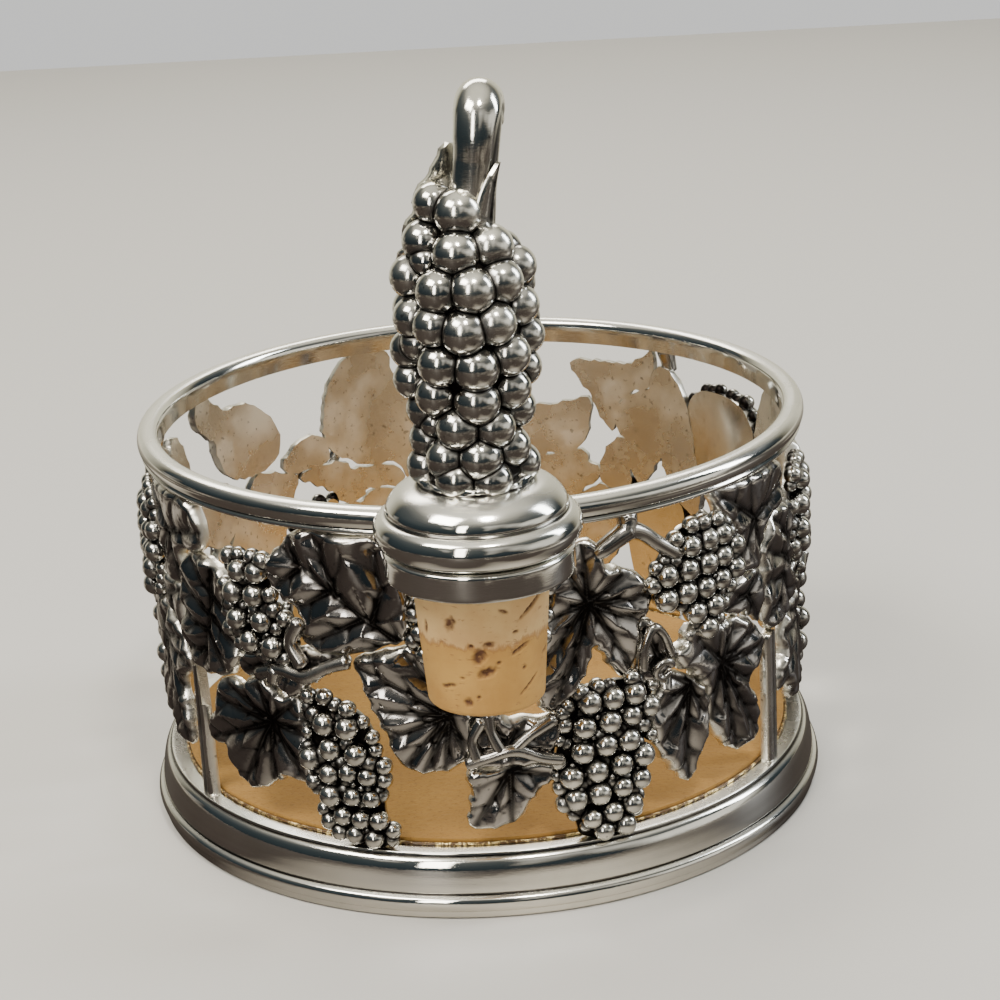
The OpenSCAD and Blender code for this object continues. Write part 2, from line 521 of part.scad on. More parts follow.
// Rows of grapes on the stopper: height, distance from the axis, both as shares, and count
finial_row_shares = [[0.04, 0.72, 6], [0.15, 0.66, 5], [0.25, 0.7, 6], [0.34, 0.85, 6],
    [0.44, 0.94, 7], [0.55, 1, 7], [0.665, 0.9, 6], [0.78, 0.53, 4], [0.89, 0.17, 2]];
finial_core_shares = [[0, 0.75], [0.15, 0.68], [0.3, 0.75], [0.44, 0.92], [0.55, 0.98], [0.67, 0.88],
    [0.78, 0.55], [0.89, 0.25]];
last_row = len(finial_row_shares) - 1;

module grape_rows(first, last, extra, facets) {
    for (i = [first:last]) let (row = finial_row_shares[i])
        for (k = [0:row[2] - 1]) rotate([0, 0, (k + i % 2 / 2) * 360 / row[2]])
            translate([finial_spread * row[1], 0, finial_h * row[0]])
                sphere(r = finial_grape_r + extra, $fn = facets);
}

// Straight part of the stem, leaning to the right, from its socket in the bunch
stem_lean = 8;
stem_foot_share = 0.87;

module stem_shank(extra) {
    translate([0, 0, finial_h * stem_foot_share]) rotate([0, stem_lean, 0])
        translate([0, 0, -extra]) cylinder(h = stem_h + extra, r = stem_r + extra, $fn = 64);
}

module stopper_grapes() {
    color(tarnish) translate([0, ring_y, neck_top_z]) difference() {
        union() {
            rotate_extrude($fn = 24) polygon(concat([[0, 0]],
                [for (s = finial_core_shares) [finial_spread * s[1], finial_h * s[0]]],
                [[0, finial_h * finial_row_shares[last_row][0]]]));
            grape_rows(0, last_row, 0, 12);
        }
        translate([0, 0, -finial_h]) cylinder(h = finial_h, r = finial_h);
        stem_shank(fine);
    }
}

// The stem bends back at the top and ends in a flat cut
stem_turn = 65;
stem_sweep = 100;

module stopper_stem() {
    color(tarnish) translate([0, ring_y, neck_top_z]) union() {
        stem_shank(0);
        translate([0, 0, finial_h * stem_foot_share]) rotate([0, stem_lean, 0])
            translate([0, 0, stem_h]) rotate([0, 0, stem_turn]) translate([stem_bend, 0, 0])
                rotate([90, 0, 180]) rotate_extrude(angle = stem_sweep, $fn = 96)
                    translate([stem_bend, 0]) circle(r = stem_r, $fn = 48);
    }
}

// Small curved leaves: pieces of hollow balls inside an outline. The outline's points are
// shares of the leaf's length across and along.
small_leaf_shares = [[0, 0], [0.1, 0.06], [0.2, 0.2], [0.17, 0.34], [0.26, 0.46], [0.22, 0.6], [0.15, 0.68],
    [0.13, 0.82], [0, 1], [-0.13, 0.82], [-0.15, 0.68], [-0.22, 0.6], [-0.26, 0.46], [-0.17, 0.34],
    [-0.2, 0.2], [-0.1, 0.06]];
sepal_shares = [[-0.14, -0.05], [0.14, -0.05], [0.22, 0.3], [0.16, 0.65], [0, 1], [-0.16, 0.65],
    [-0.22, 0.3]];
// Share of the long leaf's length at which it comes nearest to the stem
leaf_near_share = 0.8;

module leaf_prism(shares, long, depth) {
    rotate([90, 0, 0]) linear_extrude(depth) polygon([for (s = shares) [s[0] * long, s[1] * long]]);
}

// A leaf that bends towards the stem at its tip and its foot
module small_leaf(shares, long, ball_r, t) {
    intersection() {
        translate([0, -ball_r, long / 3]) difference() {
            sphere(r = ball_r, $fn = 96);
            sphere(r = ball_r - t, $fn = 96);
        }
        leaf_prism(shares, long, ball_r);
    }
}

// A leaf that lies along the bunch below and the stem above, and bends away from both ends
module hugging_leaf(shares, long, ball_r, near, t) {
    intersection() {
        translate([0, near + ball_r, long * leaf_near_share]) difference() {
            sphere(r = ball_r, $fn = 96);
            sphere(r = ball_r - t, $fn = 96);
        }
        translate([0, ball_r, 0]) leaf_prism(shares, long, ball_r);
    }
}

// The long leaf stands behind the bunch on the left, the sepal lies against the stem on the right
leaf_turn = 32;
sepal_lean = -4;
sepal_turn = -75;

module on_stem(rows_cut) {
    translate([0, ring_y, neck_top_z]) difference() {
        translate([0, 0, finial_h * stem_foot_share]) rotate([0, stem_lean, 0]) children();
        grape_rows(last_row - rows_cut + 1, last_row, fine, 48);
        stem_shank(fine);
    }
}

module stopper_leaf() {
    color(tarnish) on_stem(3) rotate([0, 0, leaf_turn]) translate([0, 0, -stem_h])
        hugging_leaf(small_leaf_shares, stem_h * 1.8, stem_h * 1.85, stem_r + cast_t / 2, cast_t);
}

module stopper_sepal() {
    color(tarnish) on_stem(2) rotate([0, 0, sepal_turn])
        translate([0, stem_r + cast_t * 2 / 3, stem_h / 12]) rotate([sepal_lean, 0, 0])
            small_leaf(sepal_shares, stem_h * 0.75, stem_h, cast_t);
}

// The stud is fixed to nothing: cap and cork turn together on it
module stopper_stud() {
    color(silver) translate([0, ring_y, seat_z - stud_down + run_gap])
        cylinder(h = stud_down + stud_up - run_gap * 2, r = stud_r, $fn = 48);
}

module stopper_cork() {
    color(cork_tan) translate([0, ring_y, seat_z - cork_h]) difference() {
        cylinder(h = cork_h, r1 = cork_bottom_r, r2 = cork_top_r, $fn = 144);
        translate([0, 0, cork_h - stud_down]) cylinder(h = stud_down + cut, r = stud_r + run_gap, $fn = 48);
    }
}

top_rim();
foot_ring();
base_board();
floor_lining();
foot_felt();
for (l = LEAVES) leaf(l[1], l[2]);
for (b = BUNCHES) bunch(b[1], b[2]);
leaf("leaf_back_tip", 0);  // leaf_back_tip
leaf("leaf_back_wide", 0);  // leaf_back_wide
leaf("leaf_back_tall", 0);  // leaf_back_tall
leaf("leaf_back_reach", 0);  // leaf_back_reach
bunch("bunch_back", 0);  // bunch_back
each_panel("sprig_side", PANELS);  // sprigs_side
each_panel("sprig_middle", PANELS);  // sprigs_middle
each_panel("leaf_foot", PANELS);  // leaves_foot
each_panel("tendril", PANELS);  // tendrils
each_panel("leaf_edge", [PANELS[0], PANELS[2]]);  // leaves_edge
sprigs_back();
wall_posts();
vine_forks();
holder_ring();
holder_saddle();
stopper_cap();
stopper_grapes();
stopper_stem();
stopper_leaf();
stopper_sepal();
stopper_stud();
stopper_cork();
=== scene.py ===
# %% [markdown]
# A wine bottle coaster: a pierced wall of cast vine leaves and grapes stands between a polished rim and
# a flared foot, and a bottle stopper with a bunch of grapes on top hangs in a ring at the front.
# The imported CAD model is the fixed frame. Every piece below is made in its place around that frame and
# stands for one of its nodes.

# %% Load the frame
import itertools
import json
import math

import bpy
import numpy as np
from mathutils import Matrix, Vector, geometry


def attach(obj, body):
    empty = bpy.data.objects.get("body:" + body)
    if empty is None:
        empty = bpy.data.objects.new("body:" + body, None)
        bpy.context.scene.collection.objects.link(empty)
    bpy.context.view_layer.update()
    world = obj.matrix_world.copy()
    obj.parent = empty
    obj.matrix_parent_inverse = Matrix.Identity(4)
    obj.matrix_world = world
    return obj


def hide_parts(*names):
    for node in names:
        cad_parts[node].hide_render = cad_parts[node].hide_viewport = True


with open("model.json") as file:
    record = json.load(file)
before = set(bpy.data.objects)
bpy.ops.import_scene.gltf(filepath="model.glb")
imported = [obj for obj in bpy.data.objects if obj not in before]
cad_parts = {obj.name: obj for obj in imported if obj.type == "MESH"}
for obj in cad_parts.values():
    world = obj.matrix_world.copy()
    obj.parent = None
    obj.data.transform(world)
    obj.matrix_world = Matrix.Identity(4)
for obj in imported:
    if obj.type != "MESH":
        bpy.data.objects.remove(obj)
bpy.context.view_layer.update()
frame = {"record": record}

# %% [markdown]
# All sizes of the real object are easier to read in millimetres, so the script thinks in millimetres and
# one number turns them into Blender's metres. The angle round the coaster is 0 at the stopper and grows
# towards +X. The wall between foot and rim has a height of its own, and places on it are given as an
# angle and a share of that height.

# %% Sizes
MM = 0.001
RIM_R = 63.5
WELL_R = 59.3
RIM_BOTTOM_Z = 71.3
LIP_Z = 11.7
WALL_H = RIM_BOTTOM_Z - LIP_Z
BACK_R = WELL_R + 0.6
EDGE_R = BACK_R + 1.2
MEASURE_R = 61.4
MM_PER_DEGREE = MEASURE_R * math.pi / 180
RING_Y = -79.6
RING_R = 15.7
SEAT_Z = 76.35
NECK_TOP_Z = 88.35
TURNS = {"front": 0, "right": 120, "left": 240}
FELT_TOP_Z = 12.9
SHARP_CORNER = 72
BODY_OF = {}
for body_name, members in frame["record"]["behaviour"]["bodies"].items():
    for member in members:
        BODY_OF[member] = body_name
print("nodes in the frame:", len(BODY_OF))


def finish_piece(obj, *nodes, slot="antique_silver"):
    """The piece stands for these nodes and rides on their body. Its slot is not used."""
    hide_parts(*nodes)
    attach(obj, BODY_OF[nodes[0]])
    return obj


def new_object(name, verts, faces, material, smooth=True, marks=None):
    """A mesh object from points in millimetres. marks holds named values, one for each point."""
    mesh = bpy.data.meshes.new(name)
    mesh.from_pydata([tuple(float(c) * MM for c in v) for v in verts], [], faces)
    for mark, values in (marks or {}).items():
        layer = mesh.attributes.new(mark, "FLOAT", "POINT")
        layer.data.foreach_set("value", np.asarray(values, dtype=np.float32))
    mesh.materials.append(material)
    if smooth:
        mesh.polygons.foreach_set("use_smooth", [True] * len(mesh.polygons))
        mesh.set_sharp_from_angle(angle=math.radians(SHARP_CORNER))
    mesh.update()
    obj = bpy.data.objects.new(name, mesh)
    bpy.context.collection.objects.link(obj)
    return obj


def add_piece(name, node, shape, material, slot="antique_silver"):
    """A piece for one node, from points, faces and, where the shape has them, marks."""
    verts, faces, *marks = shape
    obj = new_object(name, verts, faces, material, marks=marks[0] if marks else None)
    return finish_piece(obj, node, slot=slot)


def wall_place(degrees, share, radius):
    """A point of the wall in millimetres. degrees, share and radius may be arrays."""
    turn = np.radians(degrees)
    up = LIP_Z + np.asarray(share) * WALL_H
    return np.stack([radius * np.sin(turn), -radius * np.cos(turn), up + 0 * turn], -1)


def wall_nodes(kinds):
    """Each node of these kinds, with its kind and its turn. Some kinds are a single node."""
    for node_name in sorted(BODY_OF):
        kind, _, panel = node_name.rpartition("_")
        if node_name in kinds:
            yield node_name, node_name, 0
        elif kind in kinds and panel in TURNS:
            yield node_name, kind, TURNS[panel]


# %% [markdown]
# The photograph was taken from a little above the rim with a long lens. The camera stands half a metre
# away, 19 degrees up, and is rolled by about 3 degrees, as it was held by hand.

# %% Camera
CAMERA_TURN = math.radians(-0.8)
CAMERA_RISE = math.radians(19.0)
CAMERA_ROLL = math.radians(2.91)
CAMERA_DISTANCE = 504.2
LOOK_RIGHT = 4.89
LOOK_UP = 55.94
right = Vector((math.cos(CAMERA_TURN), math.sin(CAMERA_TURN), 0))
out = Vector((math.sin(CAMERA_TURN), -math.cos(CAMERA_TURN), 0))
back = out * math.cos(CAMERA_RISE) + Vector((0, 0, math.sin(CAMERA_RISE)))
up = right.cross(-back)
look_at = right * LOOK_RIGHT + Vector((0, 0, LOOK_UP))
camera_x = right * math.cos(CAMERA_ROLL) - up * math.sin(CAMERA_ROLL)
camera_y = right * math.sin(CAMERA_ROLL) + up * math.cos(CAMERA_ROLL)
camera_data = bpy.data.cameras.new("camera")
camera_data.lens = 93.6
camera_data.sensor_width = 36
camera_data.sensor_fit = "HORIZONTAL"
camera_data.clip_start = 0.02
camera = bpy.data.objects.new("camera", camera_data)
bpy.context.collection.objects.link(camera)
place = (look_at + back * CAMERA_DISTANCE) * MM
camera.matrix_world = Matrix.Translation(place) @ Matrix((camera_x, camera_y, back)).transposed().to_4x4()
bpy.context.scene.camera = camera
print("camera at", [round(v, 3) for v in place])

# %% [markdown]
# Light, floor and all materials are made of shader nodes. These helpers add a node, set or link its
# inputs and hand back the socket that goes on, so that a material reads like a sum.

# %% Node helpers


def set_inputs(tree, node, feeds):
    """Feeds inputs, by name or number, with a socket, a number, a colour or a vector."""
    for key, value in feeds.items():
        socket = node.inputs[key]
        if isinstance(value, bpy.types.NodeSocket):
            tree.links.new(value, socket)
        else:
            socket.default_value = (*value, 1) if socket.type == "RGBA" else value


def add_node(tree, kind, feeds=None, **settings):
    node = tree.nodes.new(kind)
    for key, value in settings.items():
        setattr(node, key, value)
    set_inputs(tree, node, feeds or {})
    return node


def add_math(tree, operation, *values, clamp=False):
    node = add_node(tree, "ShaderNodeMath", dict(enumerate(values)), operation=operation, use_clamp=clamp)
    return node.outputs[0]


def add_mix(tree, factor, a, b, blend="MIX"):
    """A colour mix of two sockets or colours."""
    node = add_node(tree, "ShaderNodeMix", data_type="RGBA", blend_type=blend)
    set_inputs(tree, node, {0: factor, 6: a, 7: b})
    return node.outputs[2]


def add_layer(tree, colour, mask, share, other):
    """Another colour over this one, as strong as a mask times a share."""
    return add_mix(tree, add_math(tree, "MULTIPLY", mask, share), colour, other)


def add_noise(tree, where, scale, detail=4.0, roughness=0.55):
    feeds = {"Vector": where, "Scale": scale, "Detail": detail, "Roughness": roughness}
    return add_node(tree, "ShaderNodeTexNoise", feeds).outputs["Fac"]


def add_range(tree, value, low, high, to_low=0.0, to_high=1.0):
    feeds = {"Value": value, "From Min": low, "From Max": high, "To Min": to_low, "To Max": to_high}
    return add_node(tree, "ShaderNodeMapRange", feeds, interpolation_type="SMOOTHSTEP").outputs["Result"]


def add_ramp(tree, value, first, *middle, last):
    """A colour ramp. Each stop is a place and a colour."""
    node = add_node(tree, "ShaderNodeValToRGB", {0: value})
    elements = node.color_ramp.elements
    for element, (position, colour) in zip(elements, (first, last)):
        element.position = position
        element.color = (*colour, 1)
    for position, colour in middle:
        elements.new(position).color = (*colour, 1)
    return node.outputs[0]


def add_bump(tree, height, strength, distance):
    feeds = {"Height": height, "Strength": strength, "Distance": distance}
    return add_node(tree, "ShaderNodeBump", feeds).outputs["Normal"]


def add_mark(tree, name):
    """A value that the mesh carries at each point."""
    return add_node(tree, "ShaderNodeAttribute", attribute_name=name).outputs["Fac"]


def object_place(tree, stretch=(1, 1, 1)):
    where = add_node(tree, "ShaderNodeTexCoord").outputs["Object"]
    return add_node(tree, "ShaderNodeMapping", {"Vector": where, "Scale": stretch}).outputs["Vector"]


def new_material(name):
    material = bpy.data.materials.new(name)
    material.use_nodes = True
    return material, material.node_tree


def shaded(material, colour, normal, rough, more=None):
    """The material, with the inputs of its shader set."""
    feeds = {"Base Color": colour, "Normal": normal, "Roughness": rough, **(more or {})}
    set_inputs(material.node_tree, material.node_tree.nodes["Principled BSDF"], feeds)
    return material


# %% [markdown]
# Silver shows what stands around it, so the light decides its look. The lamps are soft: a broad one
# above the front left gives the long highlights, a tall one at the left draws lines down round forms,
# and a smaller one high in front gives each grape its bright spot. What the metal mirrors is a room: a
# bright ceiling, a pale wall behind, dim walls with a few lighter patches elsewhere, and a dark table
# top. The camera itself sees a plain pale backdrop.

# %% Light and sky


def add_lamp(name, at, aim, size, watts, colour):
    data = bpy.data.lights.new(name, "AREA")
    data.shape = "RECTANGLE"
    data.size, data.size_y = size
    data.energy = watts
    data.color = colour
    lamp = bpy.data.objects.new(name, data)
    bpy.context.collection.objects.link(lamp)
    lamp.location = at
    lamp.rotation_euler = (Vector(aim) - Vector(at)).to_track_quat("-Z", "Y").to_euler()


WARM = (1.0, 0.945, 0.855)
COOL = (0.93, 0.97, 1.0)
AIM = (0, 0, 0.06)
add_lamp("broad_lamp", (-0.5, -0.4, 0.85), AIM, (0.5, 0.35), 8.5, WARM)
add_lamp("high_lamp", (0.14, -0.5, 0.9), AIM, (0.14, 0.14), 5.0, WARM)
add_lamp("window_lamp", (-0.3, -0.85, 0.45), AIM, (0.16, 0.6), 3.0, WARM)
add_lamp("side_lamp", (0.8, 0.1, 0.5), AIM, (0.2, 0.5), 4.5, COOL)
add_lamp("rear_lamp", (-0.1, 0.7, 0.75), AIM, (0.8, 0.3), 6.0, WARM)

NOTHING = (0, 0, 0)
world = bpy.data.worlds.new("room")
bpy.context.scene.world = world
world.use_nodes = True
tree = world.node_tree
tree.nodes.clear()
where = add_node(tree, "ShaderNodeTexCoord").outputs["Generated"]
split = add_node(tree, "ShaderNodeSeparateXYZ", {0: where})
ceiling = add_ramp(
    tree, add_math(tree, "MULTIPLY_ADD", split.outputs["Z"], 0.5, 0.5),
    (0.5, (0.026, 0.036, 0.042)), (0.6, (0.04, 0.052, 0.058)), (0.75, (0.09, 0.1, 0.1)),
    (0.84, (0.2, 0.2, 0.185)), (0.91, (0.7, 0.67, 0.57)), last=(0.98, (1.0, 0.96, 0.82)))
patches = add_ramp(tree, add_noise(tree, where, 1.5, 1, 0.5), (0.57, NOTHING), last=(0.72, (1.0, 0.97, 0.88)))
wall = add_ramp(tree, split.outputs["Y"], (0.55, NOTHING), last=(0.85, (0.9, 0.86, 0.68)))
room = add_mix(tree, 1, add_mix(tree, 1, ceiling, patches, "LIGHTEN"), wall, "LIGHTEN")
around = add_node(tree, "ShaderNodeBackground", {"Color": room}).outputs[0]
plain = add_node(tree, "ShaderNodeBackground", {"Color": (0.8, 0.8, 0.79)}).outputs[0]
seen = add_node(tree, "ShaderNodeLightPath").outputs["Is Camera Ray"]
sky = add_node(tree, "ShaderNodeMixShader", {0: seen, 1: around, 2: plain}).outputs[0]
add_node(tree, "ShaderNodeOutputWorld", {0: sky})

# %% [markdown]
# The floor is pale paper. Near the coaster the metal mirrors it much darker, as it would a table.

# %% Floor
FLOOR_HALF = 900
FLOOR_Z = -0.02
PAPER = (0.56, 0.55, 0.53)
paper, tree = new_material("floor_paper")
where = add_node(tree, "ShaderNodeTexCoord").outputs["Object"]
along = add_node(tree, "ShaderNodeSeparateXYZ", {0: where}).outputs["Y"]
behind = add_node(tree, "ShaderNodeMapRange", {"Value": along, "From Min": 0.15, "From Max": 0.6}).outputs[0]
# Seen in reflections the floor is a painted dark table top with painted bright glints, paler far behind.
glints = add_noise(tree, where, 5, 1, 0.5)
table = add_ramp(tree, glints, (0.56, (0.03, 0.024, 0.022)), last=(0.74, (0.5, 0.47, 0.42)))
mirrored = add_mix(tree, behind, table, (0.6, 0.58, 0.5))
glossy = add_node(tree, "ShaderNodeLightPath").outputs["Is Glossy Ray"]
dimmed = add_mix(tree, glossy, PAPER, mirrored)
paper_feeds = {"Base Color": dimmed, "Roughness": 0.55, "Specular IOR Level": 0.1}
set_inputs(tree, tree.nodes["Principled BSDF"], paper_feeds)
corners = [(x * FLOOR_HALF, y * FLOOR_HALF, FLOOR_Z) for x, y in ((-1, -1), (1, -1), (1, 1), (-1, 1))]
floor = new_object("studio_floor", corners, [(0, 1, 2, 3)], paper, smooth=False)
print("lamps, sky and floor are in place")

# %% [markdown]
# Silver plate is never evenly clean. A node group makes the faint cloudy stains and the hair-fine
# scratches that every silver piece here shows, and each material sets how strong they are. It puts out
# a mask and a normal only, so that the shader itself stays in the material.

# %% Node group for wear
wear_group = bpy.data.node_groups.new("plate_wear", "ShaderNodeTree")
for label, value in (("Stain Size", 60.0), ("Scratch Depth", 0.1)):
    socket = wear_group.interface.new_socket(label, in_out="INPUT", socket_type="NodeSocketFloat")
    socket.default_value = value
for label, kind in (("Stain", "Float"), ("Spots", "Float"), ("Normal", "Vector")):
    wear_group.interface.new_socket(label, in_out="OUTPUT", socket_type="NodeSocket" + kind)
wear_in = add_node(wear_group, "NodeGroupInput").outputs
where = object_place(wear_group)
cloud = add_noise(wear_group, where, wear_in["Stain Size"], 5, 0.6)
hair = add_noise(wear_group, object_place(wear_group, (1, 1, 9)), 420, 3, 0.7)
pits = add_math(wear_group, "MULTIPLY", add_noise(wear_group, where, 1500, 2), 0.5)
surface = add_math(wear_group, "ADD", hair, pits)
add_node(wear_group, "NodeGroupOutput", {
    "Stain": add_range(wear_group, cloud, 0.38, 0.72),
    "Spots": add_range(wear_group, add_noise(wear_group, where, 900, 2), 0.62, 0.75),
    "Normal": add_bump(wear_group, surface, wear_in["Scratch Depth"], 0.00005)})

# %% [markdown]
# The castings are antiqued: the whole wall was blackened and the high places were rubbed bright again.
# Each casting's mesh carries two marks, how deep a point lies in a groove and how bright it is made,
# partly by rubbing and partly as a painted highlight, and the material mixes black film, dull grey
# and bright silver by them.

# %% Silver materials
TOP_WEAR = 0.2
SEAM_BLACK = (0.03, 0.026, 0.022)
DEEP_BLACK = (0.012, 0.010, 0.009)
SPOT_GREY = (0.05, 0.045, 0.04)


def place_wear(tree, stain_size, scratch_depth):
    feeds = {"Stain Size": stain_size, "Scratch Depth": scratch_depth}
    return add_node(tree, "ShaderNodeGroup", feeds, node_tree=wear_group).outputs


def polished_silver(name, bright, dull, low_rough, high_rough, seams=True):
    """Polished plate, duller where it faces up. A mark called recess blackens the seams."""
    material, tree = new_material(name)
    wear = place_wear(tree, 38, 0.16)
    colour = add_mix(tree, wear["Stain"], bright, dull)
    if seams:
        colour = add_mix(tree, add_mark(tree, "recess"), colour, SEAM_BLACK)
    normal = add_node(tree, "ShaderNodeNewGeometry").outputs["Normal"]
    upwards = add_node(tree, "ShaderNodeSeparateXYZ", {0: normal}).outputs["Z"]
    handled = add_range(tree, upwards, 0.45, 0.95, 0.0, TOP_WEAR)
    rough = add_math(tree, "ADD", handled, add_range(tree, wear["Stain"], 0, 1, low_rough, high_rough))
    return shaded(material, colour, wear["Normal"], rough, {"Metallic": 1})


def antique_silver(name, film, bright, low_rough, high_rough, rub_rough):
    """Blackened cast plate, bright and satin on the high places: rubbed silver and painted highlight."""
    material, tree = new_material(name)
    wear = place_wear(tree, 90, 0.22)
    uneven = add_math(tree, "MULTIPLY_ADD", wear["Stain"], 0.4, 0.7)
    # The bright mark is partly rubbed silver and partly a painted highlight on edges and crests.
    rub_sheen = add_math(tree, "MULTIPLY", add_mark(tree, "rubbed"), uneven, clamp=True)
    deep = add_math(tree, "MULTIPLY", add_mark(tree, "recess"), 1.15, clamp=True)
    black = add_mix(tree, deep, add_mix(tree, rub_sheen, film, bright), DEEP_BLACK)
    spotted = add_layer(tree, black, wear["Spots"], 0.5, SPOT_GREY)
    smooth = add_range(tree, wear["Stain"], 0, 1, low_rough, high_rough)
    satin = add_math(tree, "ADD", smooth, add_math(tree, "MULTIPLY", rub_sheen, rub_rough))
    rough = add_math(tree, "ADD", satin, add_math(tree, "MULTIPLY", deep, 0.3), clamp=True)
    return shaded(material, spotted, wear["Normal"], rough, {"Metallic": 1})


SILVER = polished_silver("polished_silver", (0.90, 0.885, 0.83), (0.76, 0.75, 0.69), 0.04, 0.11)
CAST = antique_silver("antique_silver", (0.42, 0.40, 0.385), (0.97, 0.94, 0.84), 0.06, 0.15, 0.28)
GRAPES = antique_silver("grape_silver", (0.56, 0.55, 0.52), (0.92, 0.9, 0.82), 0.1, 0.18, 0.05)
STEEL = polished_silver("stud_steel", (0.56, 0.56, 0.57), (0.44, 0.44, 0.45), 0.22, 0.38, seams=False)
print("silver materials:", SILVER.name, CAST.name, GRAPES.name, STEEL.name)

# %% [markdown]
# Every leaf of the wall is one casting: a flat-backed piece that follows the well, with an outline of
# lobes and small teeth, and a face that puffs up between sunken veins. The outline is filled with a
# constrained triangulation, and the height of the face comes from the distances to the edge and to the
# veins. The outlines are the same as in the CAD part: an angle and a share of the wall's height. A leaf
# also has a centre, from which veins run where none are drawn below.

